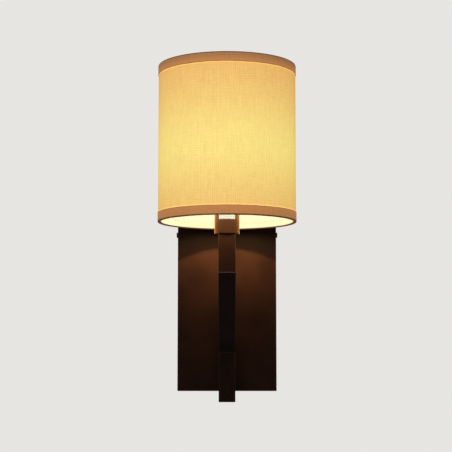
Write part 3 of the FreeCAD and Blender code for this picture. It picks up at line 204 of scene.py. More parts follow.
class Finish(Shader):
    """A material: one Principled surface that takes fixed values and channels."""

    def __init__(self, name, **fixed):
        self.material = bpy.data.materials.new(name)
        super().__init__(self.material, "OutputMaterial")
        self.surface = self.tree.nodes.new("ShaderNodeBsdfPrincipled")
        self.show(Channel(self, self.surface.outputs["BSDF"]))
        self.kept = {}
        self.set(**fixed)

    def set(self, **sockets):
        """Feeds the surface. Base_Color stands for the socket Base Color, and so on."""
        for name, value in sockets.items():
            self.feed(self.surface.inputs[name.replace("_", " ")], value)

    def split(self, vector):
        made = self.tree.nodes.new("ShaderNodeSeparateXYZ")
        self.feed(made.inputs[0], vector)
        return [Channel(self, socket) for socket in made.outputs]

    def point(self):
        """Object coordinates, which are metres in the lamp's own frame."""
        if "point" not in self.kept:
            self.kept["point"] = self.split(self.node("TexCoord", output="Object"))
        return self.kept["point"]

    def cloth_point(self):
        """Metres along and across the cloth, from the piece's own UV map."""
        if "cloth" not in self.kept:
            self.kept["cloth"] = self.split(self.node("UVMap", {"uv_map": "cloth"}))[:2]
        return self.kept["cloth"]

    def noise(self, size, detail=2.0, stretch=(1, 1, 1), over=None):
        """Smooth noise from 0 to 1 with features of a size in metres, stretched by
        shares along the three axes."""
        x, y, z = over or self.point()
        shares = [1 / (size * share) for share in stretch]
        place = self.node(
            "CombineXYZ", None, {0: x * shares[0], 1: y * shares[1], 2: z * shares[2]}
        )
        return self.node("TexNoise", None, {"Vector": place, "Scale": 1.0, "Detail": detail})

    def between(self, value, low, high):
        """0 below low, 1 above high and a smooth step between them."""
        return self.node(
            "MapRange", {"interpolation_type": "SMOOTHSTEP"},
            {"Value": value, "From Min": low, "From Max": high},
        )

    def mix(self, first, second, share):
        """A colour between two colours."""
        return self.node(
            "Mix", {"data_type": "RGBA", "clamp_factor": True},
            {0: share, 6: first, 7: second}, output=2,
        )

    def bump(self, height, distance, strength):
        return self.node(
            "Bump", None, {"Height": height, "Distance": distance, "Strength": strength}
        )

    def centred(self, amount, share):
        """A factor that swings about 1 by a share, from noise that goes from 0 to 1."""
        return amount * (2 * share) + (1 - share)


def times(colour, share):
    return tuple(part * share for part in colour)


def dress(finish, *names):
    for name in names:
        for slot in nodes[name].material_slots:
            slot.material = finish.material


# Surfaces
def cells(row, column, next_row, next_column, width):
    """Numbers of the four corner points of each cell of a grid that is width points wide."""
    return np.stack(np.broadcast_arrays(
        row * width + column, next_row * width + column,
        next_row * width + next_column, row * width + next_column,
    ), axis=-1).reshape(-1, 4)


def grid_piece(name, points, finish, ring=True, flat=None):
    """A surface from a grid of points. The first direction goes round a ring, or has two
    open ends when ring is false, and the second always runs round a closed section. flat
    holds the cloth coordinates of each point, with one more row and column for the
    closing faces."""
    rows, columns = points.shape[:2]
    row = np.arange(rows if ring else rows - 1)[:, None]
    column = np.arange(columns)[None, :]
    faces = cells(row, column, (row + 1) % rows, (column + 1) % columns, columns)
    corners = cells(row, column, row + 1, column + 1, columns + 1)
    flat_points = points.reshape(-1, 3)
    a, b, c, d = (flat_points[faces[:, k]] for k in range(4))
    volume = np.einsum("ij,ij->", a, np.cross(b, c)) + np.einsum("ij,ij->", a, np.cross(c, d))
    if volume < 0:
        faces = faces[:, ::-1]
        corners = corners[:, ::-1]
    mesh = bpy.data.meshes.new(name)
    mesh.from_pydata(flat_points.tolist(), [], faces.tolist())
    if flat is not None:
        layer = mesh.uv_layers.new(name="cloth")
        layer.data.foreach_set("uv", flat.reshape(-1, 2)[corners.reshape(-1)].ravel())
    mesh.polygons.foreach_set("use_smooth", np.ones(len(faces), bool))
    mesh.materials.append(finish.material)
    mesh.update()
    return add_object(name, mesh)


def add_object(name, data):
    made = bpy.data.objects.new(name, data)
    bpy.context.scene.collection.objects.link(made)
    return made


def fill_ends(piece):
    """Closes the two open ends of a grid that runs between a first and a last section."""
    work = bmesh.new()
    work.from_mesh(piece.data)
    bmesh.ops.holes_fill(work, edges=[edge for edge in work.edges if edge.is_boundary])
    bmesh.ops.recalc_face_normals(work, faces=work.faces)
    work.to_mesh(piece.data)
    work.free()


def smooth_step(value, low, high):
    """0 below low, 1 above high, and 3 share squared - 2 share cubed between them."""
    share = np.clip((value - low) / (high - low), 0, 1)
    return share * share * (3 - 2 * share)


def waves(seed, first, second, sizes):
    """The mean of products, one for each pair of wave counts: the sine of the first grid
    direction times the cosine of the second, with seeded phases."""
    draw = np.random.default_rng(seed)
    total = 0
    for along, across in sizes:
        phase = draw.uniform(0, FULL_TURN, 2)
        total = total + np.sin(along * first + phase[0]) * np.cos(across * second + phase[1])
    return total / len(sizes)


def straight(start, end, count):
    """Evenly spaced values or points from a start up to an end, without the end."""
    return np.linspace(start, end, count, endpoint=False)


def wall(radius, start, end, count):
    """Points of an upright line in a section, given as radius and height."""
    return np.stack([np.full(count, radius), np.linspace(start, end, count)], axis=1)


def bend_points(centre, radius, start, end, count):
    """Points of an arc in a section, given as radius and height, between two turns in
    degrees."""
    turn = np.radians(np.linspace(start, end, count))
    return np.stack(
        [centre[0] + radius * np.cos(turn), centre[1] + radius * np.sin(turn)], axis=1
    )


def sweep(section, count):
    """The grid that carries a section round the column: turns down the rows, and the
    section's radius and height along the columns."""
    return straight(0, FULL_TURN, count)[:, None], section[None, :, 0], section[None, :, 1]


def around(radius, turn, height):
    """Points at a radius from the column, at a turn from +X and a height."""
    return np.stack(np.broadcast_arrays(
        radius * np.cos(turn), radius * np.sin(turn) - COLUMN_DEPTH, height,
    ), axis=-1)


def aside(turn, place, radius):
    """Distance along a circle from a place on it, the shorter way round."""
    return np.abs((turn - place + math.pi) % FULL_TURN - math.pi) * radius


def cloth_map(turn, section, radius):
    """Cloth coordinates: the turn times a radius along, the length of the section across."""
    closed = np.vstack([section, section[:1]])
    across = np.concatenate([[0], np.cumsum(np.hypot(*np.diff(closed, axis=0).T))])
    along = np.append(turn[:, 0], FULL_TURN) * radius
    return np.stack(np.meshgrid(along, across, indexing="ij"), axis=-1)


def seam_share(turn):
    """1 on the lap seam and 0 beside it, with soft edges a millimetre wide."""
    half = SEAM_WIDTH / 2
    from_seam = aside(turn, SEAM_TURN, CLOTH_OUTER)
    return 1 - smooth_step(from_seam, half - 0.6 * MM, half + 0.4 * MM)


def between_rims(height, start, end):
    """0 up to a start from either rim of the shade, and 1 from an end on."""
    above_bottom = smooth_step(height, SHADE_BOTTOM + start, SHADE_BOTTOM + end)
    return above_bottom * (1 - smooth_step(height, SHADE_TOP - end, SHADE_TOP - start))


def make_shade_cloth(finish):
    """The drum: a straight wall of cloth. Its outer face is the drum's radius, plus the lap
    seam's rise, plus a slight swell of sines that fades out under the hems."""
    short = 0.6 * MM
    swell_rise = 0.12 * MM
    low, high = SHADE_BOTTOM + short, SHADE_TOP - short
    outer = wall(CLOTH_OUTER, low, high, 100)
    inner = wall(CLOTH_OUTER - CLOTH + 0.02 * MM, high, low, 12)
    section = np.vstack([outer, inner])
    turn, radius, height = sweep(section, 480)
    outside = (np.arange(len(section)) < len(outer))[None, :]
    swell = waves(3, turn, height / SHADE_HEIGHT, [(3, 4), (5, 7), (8, 3), (13, 9)])
    open_part = between_rims(height, HEM_HEIGHT - 0.3 * MM, HEM_HEIGHT + 1 * MM)
    free = between_rims(height, HEM_HEIGHT, HEM_HEIGHT + 9 * MM)
    rise = SEAM_RISE * seam_share(turn) * open_part + swell_rise * swell * free
    points = around(radius + rise * outside, turn, height)
    flat = cloth_map(turn, section, CLOTH_OUTER)
    piece = grid_piece("shade_cloth", points, finish, flat=flat)
    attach(piece, "shade")
    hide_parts("shade_fabric")


def hem_section():
    """A hem's whole closed section as radius and height over the shade's rim: down the
    outside, round the fold and the wire ring, up the inside to the tucked edge, and back
    along the hem's other face. The last value of each stretch is its count of points."""
    ring = (RING_RADIUS, RING_HEIGHT)
    outer_wrap = RING_WRAP + CLOTH
    beside_ring = RING_HEIGHT + RING_WRAP * 0.8
    tuck = LINER_INNER - 0.05 * MM
    lap = RING_HEIGHT + HEM_TURN + RING_WRAP
    face = SHADE_RADIUS - CLOTH
    top = HEM_HEIGHT - CLOTH / 2
    tuck_top = HEM_TUCK - CLOTH / 2
    return np.vstack([
        straight((SHADE_RADIUS, top), (SHADE_RADIUS, HEM_ROUND), 12),
        bend_points((SHADE_RADIUS - HEM_ROUND, HEM_ROUND), HEM_ROUND, 0, -80, 6),
        bend_points(ring, outer_wrap, -88, -175, 10),
        straight((RING_RADIUS - outer_wrap, beside_ring), (tuck - CLOTH, lap), 6),
        straight((tuck - CLOTH, lap), (tuck - CLOTH, tuck_top), 5),
        bend_points((tuck - CLOTH / 2, tuck_top), CLOTH / 2, 180, 0, 5),
        straight((tuck, tuck_top), (tuck, lap + 0.3 * MM), 4),
        straight((tuck, lap), (RING_RADIUS - RING_WRAP, beside_ring), 5),
        bend_points(ring, RING_WRAP, -178, -90, 8),
        straight((RING_RADIUS + 0.5 * MM, CLOTH), (face - 0.5 * MM, CLOTH), 3),
        straight((face, CLOTH * 1.6), (face, top), 8),
        bend_points((face + CLOTH / 2, top), CLOTH / 2, 180, 20, 5),
    ])


def make_hem(name, finish, replaced, at_top, notched, seed):
    """A hem: its section carried round the shade. The fold's edge wanders by a sum of
    sines, the lap seam lifts the outside, and where a carrier arm comes down the inside
    is cut back to the wire ring."""
    wander_rise = 0.18 * MM
    pucker_depth = 0.07 * MM
    seam_lift = 0.06 * MM
    section = hem_section()
    turn, radius, height = sweep(section, 720)
    inside = radius < LINER_INNER
    outside = radius > SHADE_RADIUS - 0.2 * MM
    wander = waves(seed, turn, height * 0, [(7, 0), (16, 0), (29, 0), (47, 0)])
    lifted = height + wander_rise * wander * smooth_step(height, 4 * MM, HEM_HEIGHT)
    if notched:
        from_arm = np.min([aside(turn, place, RING_RADIUS) for place in CARRIER_TURNS], axis=0)
        cut = 1 - smooth_step(from_arm, NOTCH_HALF, NOTCH_HALF + 0.6 * MM)
        lifted = lifted - np.maximum(lifted - RING_HEIGHT, 0) * inside * cut
    pucker = waves(seed + 1, turn, height * 0, [(61, 0), (97, 0), (38, 0)])
    radius = radius + pucker_depth * pucker * inside * (height > RING_HEIGHT + RING_WRAP)
    radius = radius - seam_lift * (1 - seam_share(turn)) * outside
    level = SHADE_TOP - lifted if at_top else SHADE_BOTTOM + lifted
    flat = cloth_map(turn, section, SHADE_RADIUS)
    piece = grid_piece(name, around(radius, turn, level), finish, flat=flat)
    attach(piece, "shade")
    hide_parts(replaced)


def make_cup_label(finish):
    """Blank paper label: a bent rectangle with round corners on the front of the cup, a
    tenth of a millimetre thick, whose corners lift a little."""
    low, high = 6.2 * MM, 19.5 * MM
    half_turn = math.radians(39.4)
    paper = 0.1 * MM
    corner_lift = 0.15 * MM
    levels = 14
    along = np.linspace(-1, 1, 41)[:, None]
    up = np.concatenate([np.linspace(0, 1, levels), np.linspace(1, 0, levels)])[None, :]
    outside = (np.arange(2 * levels) < levels)[None, :]
    round_off = 1 - 0.10 * smooth_step(np.abs(along), 0.9, 1.0) ** 2
    height = (low + high) / 2 + (high - low) * (up - 0.5) * round_off
    corner = smooth_step(np.abs(along), 0.8, 1) * smooth_step(np.abs(up - 0.5), 0.35, 0.5)
    radius = CUP_RADIUS + 0.02 * MM + paper * outside + corner_lift * corner
    points = around(radius, along * half_turn - math.pi / 2, height)
    piece = grid_piece("cup_label", points, finish, ring=False)
    fill_ends(piece)
    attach(piece, "root")


def make_bulb_thread(finish):
    """Rolled screw cap: radius = middle + ridge * cos(2 pi height / pitch - turn), faded
    out at both ends, with a wall of even thickness, and a flare under the glass."""
    pitch = 2.82 * MM
    ridge = 0.24 * MM
    sheet = 0.3 * MM
    flare = np.array([[7.4 * MM, 21 * MM], [8.2 * MM, 21.9 * MM]])
    outer = np.vstack([wall(6.6 * MM, 3.6 * MM, 20 * MM, 90), flare])
    section = np.vstack([outer, outer[::-1] - np.array([sheet, 0])])
    turn, radius, height = sweep(section, 96)
    fade = smooth_step(height, 4 * MM, 6 * MM) * (1 - smooth_step(height, 17.5 * MM, 19.5 * MM))
    radius = radius + ridge * np.cos(FULL_TURN * height / pitch - turn) * fade
    piece = grid_piece("bulb_thread", around(radius, turn, BULB_BOTTOM + height), finish)
    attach(piece, "bulb")
    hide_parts("bulb_cap")


def make_holder_thread(finish):
    """Outside thread of the lamp holder above its clamp ring: radius = wall + ridge * (half
    plus half of cos(2 pi height / pitch - turn)), faded out at both ends."""
    pitch = 2.5 * MM
    ridge = 0.4 * MM
    ends = 1 * MM
    low, high = 34.9 * MM, 45.4 * MM
    outer = wall(13.8 * MM, low, high, 64)
    section = np.vstack([outer, wall(13.6 * MM, high, low, 4)])
    turn, radius, height = sweep(section, 128)
    outside = (np.arange(len(section)) < len(outer))[None, :]
    fade = smooth_step(height, low, low + ends) * (1 - smooth_step(height, high - ends, high))
    wave = 0.5 + 0.5 * np.cos(FULL_TURN * height / pitch - turn)
    points = around(radius + ridge * wave * fade * outside, turn, height)
    piece = grid_piece("holder_thread", points, finish)
    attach(piece, "root")


# Masks of the painted metal, for its painted edge and mitre highlights
def box_edges(finish, node, width):
    """1 along the outside edges of a box node: the middle one of the three closenesses to
    its sides."""
    low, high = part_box(node)
    close = []
    for place, start, end in zip(finish.point(), low, high):
        centre = (start + end) / 2
        half = (end - start) / 2
        close.append(finish.between(abs(place - centre), half - width, half - width / 4))
    x, y, z = close
    pairs = finish.higher(finish.lower(x, y), finish.lower(y, z))
    return finish.higher(pairs, finish.lower(x, z))


def arm_runs(finish):
    """Three distances in the arm's side view: from its lower and its upper mitre, each a
    plane halfway between two runs, and from the middle line of the foot, slant or neck."""
    _, y, z = finish.point()
    rise, run = math.cos(MITRE_TURN), math.sin(MITRE_TURN)
    foot = y + FOOT_DEPTH
    neck = y + COLUMN_DEPTH
    low_mitre = (z - LOWER_BEND) * rise - foot * run
    high_mitre = (z - UPPER_BEND) * rise - neck * run
    slant = (foot + (z - LOWER_BEND)) * math.sqrt(0.5)
    past_low = finish.above(low_mitre, 0.0)
    past_high = finish.above(high_mitre, 0.0)
    across = foot * (1 - past_low) + slant * (past_low - past_high) + neck * past_high
    return low_mitre, high_mitre, across


def arm_edges(finish):
    """1 along the arm's long edges."""
    near, far = ARM_EDGE - 0.9 * MM, ARM_EDGE - 0.1 * MM
    x = finish.point()[X]
    across = arm_runs(finish)[2]
    return finish.lower(
        finish.between(abs(x), near, far), finish.between(abs(across), near, far)
    )


def arm_mitre_highlights(finish):
    """The arm's two mitre lines, a painted highlight where the mitre edges catch the light. The
    upper one is the stronger.
    """
    lower, upper = (
        1 - finish.between(abs(mitre), 0.15 * MM, 0.6 * MM) for mitre in arm_runs(finish)[:2]
    )
    return upper * 0.75 + lower * 0.2


def column_radius(finish):
    """Distance from the column."""
    x, y = finish.point()[:2]
    depth = y + COLUMN_DEPTH
    return (x * x + depth * depth) ** 0.5


def cup_edges(finish):
    """1 at the cup's rim and at its lower corner."""
    low, high = (corner[Z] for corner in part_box("socket_cup"))
    half = (high - low) / 2
    from_middle = abs(finish.point()[Z] - (low + high) / 2)
    radius = column_radius(finish)
    ends = finish.between(from_middle, half - 1.1 * MM, half - 0.3 * MM)
    return ends * finish.between(radius, CUP_RADIUS - 1.3 * MM, CUP_RADIUS - 0.3 * MM)


# Finishes
def bronze_paint(name, edges, mitre_highlights=None, warm=1.0, edge_highlight=0.8, sheen=0.0):
    """Satin dark bronze paint: brown mottle and a fine orange peel. Where edges gives 1 it is
    painted lighter in patches, a painted highlight that looks like rubbed paint, and mitre
    lines, where there are any, are a painted highlight too. A warm above 1 makes a lighter
    copy of the paint, which is painted light. The cup also has an orange sheen."""
    finish = Finish(
        name, Specular_IOR_Level=0.025,
        Sheen_Weight=sheen, Sheen_Roughness=0.42, Sheen_Tint=(1.0, 0.55, 0.20),
    )
    mottle = finish.noise(26 * MM, 3.0)
    fine = finish.noise(1.6 * MM, 2.0)
    peel = finish.noise(0.9 * MM, 1.0)
    # warm above 1 gives a lighter copy of the paint, painted light for parts that the shade's glow
    # falls on
    paint = finish.mix(
        times(PAINT_DARK, warm), times(PAINT_LIGHT, warm),
        finish.between(mottle * 0.75 + fine * 0.25, 0.3, 0.7),
    )
    # Painted highlight along the mitre lines
    if mitre_highlights:
        paint = finish.mix(paint, PAINT_MITRE_HIGHLIGHT, mitre_highlights(finish))
    # Painted highlight along the edges, in patches like rubbed paint
    patches = finish.between(finish.noise(7 * MM, 4.0) * 0.7 + fine * 0.3, 0.30, 0.62)
    finish.set(
        Base_Color=finish.mix(paint, PAINT_EDGE_HIGHLIGHT, edges(finish) * patches * edge_highlight),
        Roughness=finish.centred(fine, 0.12) * 0.43,
        Normal=finish.bump(peel * 0.7 + fine * 0.3, 0.04 * MM, 0.55),
    )
    return finish


def cloth_weave(finish):
    """Plain weave over the cloth's own coordinates. Returns its height, its streaks, which
    are thick and thin yarns and patches of fine ribs, and the slow drift of its threads."""
    warp, weft = 0.62 * MM, 0.70 * MM
    upright_rib, level_rib = 2.3 * MM, 2.5 * MM
    along, up = finish.cloth_point()
    still = along * 0
    drift = finish.noise(9 * MM, 2.0, over=(along, up, still))
    bent = along + (drift - 0.5) * 0.5 * MM
    level = up + (drift - 0.5) * 0.35 * MM
    turn = finish.sine(bent * (FULL_TURN / warp))
    lift = finish.sine(level * (FULL_TURN / weft))
    over = finish.between(turn * lift, -0.45, 0.45)
    warp_yarn = abs(finish.sine(bent * (math.pi / warp)))
    weft_yarn = abs(finish.sine(level * (math.pi / weft)))
    height = warp_yarn * over + weft_yarn * (1 - over)
    upright = finish.noise(1.1 * MM, 2.0, (1, 12, 1), (along, up, still))
    thick_yarns = finish.noise(2.0 * MM, 1.0, (1, 14, 1), (along, up, still + 5.0))
    level_slubs = finish.noise(1.1 * MM, 2.0, (7, 1, 1), (along, up, still + 7.0))
    patch = finish.between(finish.noise(11 * MM, 1.0, over=(along, up, still + 3.0)), 0.4, 0.6)
    rib = finish.sine(bent * (FULL_TURN / upright_rib)) * patch
    rib = rib + finish.sine(level * (FULL_TURN / level_rib)) * (1 - patch)
    streaks = upright * 0.32 + thick_yarns * 0.28 + level_slubs * 0.32 + rib * 0.075 + 0.04
    return height, streaks, drift


def glow_share(finish):
    """1 level with the bulb and less over and under it, as light in a drum falls off: (1 +
    rise squared) to the power of -1.5, with the rise counted in reaches of the glow."""
    rise = (finish.point()[Z] - GLOW_HEIGHT) / GLOW_REACH
    return (rise * rise + 1) ** -1.5


def linen_cloth():
    """Linen that glows with the light behind it. Thick yarns and the double lap seam cut
    the glow, and it is lifted where the cloth meets a hem. An orange sheen warms the sides
    of the drum, where the cloth is seen at a slant."""
    finish = Finish(
        "linen_cloth", Specular_IOR_Level=0.06, Sheen_Weight=0.38, Sheen_Roughness=0.35,
        Sheen_Tint=(1.0, 0.42, 0.12), Emission_Strength=1.6,
    )
    height, streaks, drift = cloth_weave(finish)
    streak = finish.between(streaks, 0.35, 0.65)
    tone = finish.mix((0.385, 0.270, 0.115), (0.465, 0.335, 0.150), streak)
    tone = finish.mix((0.30, 0.195, 0.075), tone, finish.between(height, 0.05, 0.65))
    glow = finish.mix((0.489, 0.163, 0.025), (0.648, 0.528, 0.142), glow_share(finish))
    half = SEAM_WIDTH / 2
    along, _ = finish.cloth_point()
    from_seam = abs(along - SEAM_TURN * CLOTH_OUTER)
    seam = 1 - finish.between(from_seam, half - 0.5 * MM, half + 0.5 * MM)
    z = finish.point()[Z]
    past_low, past_high = (
        finish.between(from_rim, HEM_HEIGHT + 0.6 * MM, HEM_HEIGHT + 2.0 * MM)
        for from_rim in (z - SHADE_BOTTOM, SHADE_TOP - z)
    )
    beside = 2 - past_low - past_high
    light = finish.centred(streak, 0.07) * finish.centred(finish.between(height, 0.1, 0.9), 0.05)
    light = light * (1 - seam * 0.2) * (beside * 0.42 + 1) * finish.centred(drift, 0.02)
    finish.set(
        Base_Color=tone,
        Roughness=finish.centred(streak, 0.06) * 0.85,
        Emission_Color=finish.mix(BLACK, glow, light * 0.625),
        Normal=finish.bump(height * 0.8 + streaks * 0.4, 0.12 * MM, 0.55),
    )
    return finish


def linen_hem(name, rim, inward, lit, fold_shade_tone):
    """The same linen folded over the wire ring. Light comes through near the drum and,
    inside, falls straight on the tucked edge. The fold round the wire is painted darker, as
    painted shade where it turns away from the light, and a thin line along the hem's edge
    is painted dark as the shadow of its step. A faint painted light lies on the hem's end
    face at the rim. inward is 1 where the hem goes up from its rim and -1 where it goes
    down, lit is the share of the light that comes through beside the rim, and
    fold_shade_tone is the colour of the fold's painted shade."""
    finish = Finish(name, Specular_IOR_Level=0.2, Sheen_Weight=0.06, Emission_Strength=1.0)
    height, streaks, _ = cloth_weave(finish)
    from_rim = (finish.point()[Z] - rim) * inward
    radius = column_radius(finish)
    streak = finish.between(streaks, 0.32, 0.68)
    tone = finish.mix((0.44, 0.200, 0.078), (0.53, 0.255, 0.104), streak)
    tone = finish.mix((0.29, 0.120, 0.042), tone, finish.between(height, 0.05, 0.6))
    inside = 1 - finish.between(radius, LINER_INNER - 0.6 * MM, LINER_INNER - 0.1 * MM)
    under = 1 - finish.between(radius, SHADE_RADIUS - 1.6 * MM, SHADE_RADIUS - 0.3 * MM)
    # Painted shade: the fold round the wire ring, outside and inside, darkened where it turns away
    # from the light
    outer_fold_shade = 1 - finish.between(from_rim, 0.6 * MM, 1.9 * MM)
    inner_fold_shade = inside * (1 - finish.between(from_rim, 0.3 * MM, 1.0 * MM))
    fold = finish.higher(outer_fold_shade, inner_fold_shade)
    tone = finish.mix(tone, fold_shade_tone, fold * 0.92)
    through = finish.between(from_rim, 2 * MM, HEM_HEIGHT) * (1 - lit) + lit
    # Painted shadow: a thin dark line along the hem's edge, where it steps off the cloth, with its
    # glow taken out
    edge_shadow = finish.between(from_rim, HEM_HEIGHT - 0.8 * MM, HEM_HEIGHT - 0.1 * MM) * (1 - inside)
    glow = finish.mix(BLACK, (0.165, 0.060, 0.010), through)
    glow = finish.mix(glow, BLACK, finish.higher(fold, edge_shadow))
    # Painted light: a faint glow on the hem's end face at the rim
    rim_face_light = under * (1 - finish.between(from_rim, 0.2 * MM, 0.9 * MM))
    glow = finish.mix(glow, (0.055, 0.022, 0.005), rim_face_light)
    tuck = inside * finish.between(from_rim, 0.6 * MM, 1.6 * MM)
    tuck_light = tuck * finish.centred(height, 0.06) * 0.9
    finish.set(
        Base_Color=finish.mix(tone, (0.17, 0.070, 0.024), edge_shadow * 0.75),
        Roughness=finish.centred(streak, 0.06) * 0.88,
        Emission_Color=finish.mix(glow, (0.88, 0.85, 0.56), tuck_light),
        Normal=finish.bump(height * 0.8 + streaks * 0.4, 0.12 * MM, 0.6),
    )
    return finish


def shade_sheet():
    """White translucent sheet behind the cloth, lit through by the bulb, with the faint
    print of the weave that is stuck to it."""
    finish = Finish("shade_sheet", Specular_IOR_Level=0.4, Emission_Strength=1.0)
    haze = finish.noise(14 * MM, 3.0)
    grain = finish.noise(0.7 * MM, 2.0, (1, 1, 8))
    light = glow_share(finish) * 0.9 + haze * 0.1
    finish.set(
        Base_Color=finish.mix((0.47, 0.43, 0.38), (0.55, 0.51, 0.46), haze * 0.6 + grain * 0.4),
        Roughness=finish.centred(grain, 0.2) * 0.5,
        Emission_Color=finish.mix((0.42, 0.44, 0.32), (0.56, 0.58, 0.42), light),
        Normal=finish.bump(grain, 0.03 * MM, 0.4),
    )
    return finish


def metal(name, bright, dull, rough, grain=(1, 1, 12), size=0.8 * MM, wear=0.5):
    """Plain metal: drawn or plated grain, slow clouds of dullness and fine scratches."""
    finish = Finish(name, Metallic=1.0)
    clouds = finish.noise(6 * MM, 4.0)
    lines = finish.noise(size, 3.0, grain)
    dullness = finish.between(clouds * 0.7 + lines * 0.3, 0.35, 0.7) * wear
    finish.set(
        Base_Color=finish.mix(bright, dull, dullness),
        Roughness=finish.centred(clouds * 0.5 + lines * 0.5, 0.3) * rough,
        Normal=finish.bump(lines, 0.02 * MM, 0.5),
    )
    return finish


def moulded(name, first, second, rough, grain_size=0.5 * MM, grain_deep=0.01 * MM, glow=0.0):
    """Moulded or glazed surface: slow flow marks and a fine grain. glow is for pale wire
    that stands in the light of the shade's inside."""
    finish = Finish(
        name, Specular_IOR_Level=0.5, Emission_Color=(1, 0.88, 0.60), Emission_Strength=glow,
    )
    clouds = finish.noise(9 * MM, 3.0)
    grain = finish.noise(grain_size, 2.0)
    finish.set(
        Base_Color=finish.mix(first, second, clouds * 0.7 + grain * 0.3),
        Roughness=finish.centred(clouds * 0.4 + grain * 0.6, 0.22) * rough,
        Normal=finish.bump(grain * 0.6 + clouds * 0.4, grain_deep, 0.6),
    )
    return finish


def wire_sleeve(name, colour, stripe=None):
    """Soft wire insulation: extrusion lines along the wire and, where there is one, a
    second colour that winds round it."""
    finish = Finish(name, Specular_IOR_Level=0.45)
    x, _, z = finish.point()
    lines = finish.noise(0.5 * MM, 2.0, (1, 1, 14))
    tone = finish.mix(colour, times(colour, 0.72), lines)
    if stripe:
        wind = finish.sine(x * (FULL_TURN / (3.6 * MM)) + z * (FULL_TURN / (5.2 * MM)))
        tone = finish.mix(tone, stripe, finish.between(wind, 0.1, 0.3))
    finish.set(
        Base_Color=tone,
        Roughness=finish.centred(lines, 0.15) * 0.42,
        Normal=finish.bump(lines, 0.02 * MM, 0.5),
    )
    return finish


def lit_glass():
    """Frosted glass of the lit bulb: nearly even light, a little dimmer towards the cap."""
    finish = Finish("lit_glass", Base_Color=(0.9, 0.88, 0.8), Emission_Strength=14.0)
    frost = finish.noise(0.6 * MM, 2.0)
    from_cap = finish.between(finish.point()[Z], BULB_BOTTOM + 24 * MM, BULB_BOTTOM + 44 * MM)
    light = from_cap * 0.92 + frost * 0.08
    finish.set(
        Roughness=finish.centred(frost, 0.2) * 0.45,
        Emission_Color=finish.mix((0.42, 0.24, 0.08), (1.0, 0.67, 0.27), light),
        Normal=finish.bump(frost, 0.01 * MM, 0.4),
    )
    return finish


def clear_glass():
    """Clear glass of the bulb's stem, with slight waves."""
    finish = Finish("clear_glass", Transmission_Weight=0.9, IOR=1.5, Base_Color=(0.94, 0.96, 0.95))
    finish.set(
        Roughness=finish.noise(3 * MM, 2.0) * 0.08 + 0.02,
        Normal=finish.bump(finish.noise(2 * MM, 2.0), 0.03 * MM, 0.4),
    )
    return finish


def label_paper():
    """Blank off-white label: paper fibre and faint clouds. Its own faint light stands for
    what the pale inside of the shade throws on it."""
    finish = Finish(
        "label_paper", Specular_IOR_Level=0.35,
        Emission_Color=(0.12, 0.20, 0.22), Emission_Strength=1.0,
    )
    fibre = finish.noise(0.5 * MM, 4.0, (3, 1, 1))
    clouds = finish.noise(5 * MM, 2.0)
    finish.set(
        Base_Color=finish.mix((0.90, 0.86, 0.74), (0.98, 0.95, 0.85), fibre * 0.5 + clouds * 0.5),
        Roughness=finish.centred(fibre, 0.1) * 0.6,
        Normal=finish.bump(fibre * 0.4 + clouds * 0.6, 0.03 * MM, 0.5),
    )
    return finish


def dress_painted_metal():
    dress(
        bronze_paint("bronze_plate", lambda f: box_edges(f, "back_plate", 1.1 * MM), edge_highlight=0.4),
        "back_plate",
    )
    # The arm's warm above 1 is painted light: a lighter copy of the paint for the shade's glow on
    # it
    dress(bronze_paint("bronze_arm", arm_edges, arm_mitre_highlights, warm=1.05, edge_highlight=0.16), "arm")
    dress(
        bronze_paint("bronze_foot_cap", lambda f: box_edges(f, "arm_end_cap", 0.7 * MM), edge_highlight=0.5),
        "arm_end_cap",
    )
    # The cup's warm above 1 is painted light: a lighter copy of the paint for the shade's glow on
    # it
    dress(bronze_paint("bronze_cup", cup_edges, warm=1.17, edge_highlight=0.08, sheen=0.12), "socket_cup")
    # Noise spreads the painted highlight in patches over the screw heads
    dress(bronze_paint("bronze_screws", lambda f: f.noise(1.2 * MM, 3.0)), "side_screws")


def dress_plain_metal():
    dress(
        metal("zinc_sheet", (0.62, 0.62, 0.60), (0.42, 0.41, 0.37), 0.36, (1, 1, 10)),
        "wall_bracket", "arm_clamp_bar", "arm_top_plug",
    )
    dress(
        metal("zinc_screws", (0.66, 0.66, 0.65), (0.44, 0.43, 0.40), 0.30, (1, 6, 1), 0.4 * MM),
        "arm_screws", "arm_washers", "terminal_screws", "terminal_fixing_screws",
        "threaded_nipple", "nipple_washer", "nipple_nut",
    )
    dress(
        metal(
            "plain_brass", (0.80, 0.58, 0.25), (0.45, 0.28, 0.11), 0.30,
            (1, 1, 6), 0.5 * MM, wear=0.6,
        ),
        "earth_screw", "terminal_sleeves", "screw_shell", "centre_contact",
    )
    dress(
        metal("tinned_copper", (0.72, 0.69, 0.64), (0.55, 0.42, 0.32), 0.38, (1, 1, 3)),
        "earth_tag",
    )
    dress(
        metal("solder", (0.62, 0.62, 0.61), (0.38, 0.38, 0.38), 0.42, (1, 1, 1), 1.1 * MM),
        "bulb_tip",
    )
    dress(
        metal("tungsten", (0.34, 0.33, 0.32), (0.18, 0.17, 0.17), 0.45, (1, 1, 1), 0.2 * MM),
        "bulb_filament",
    )


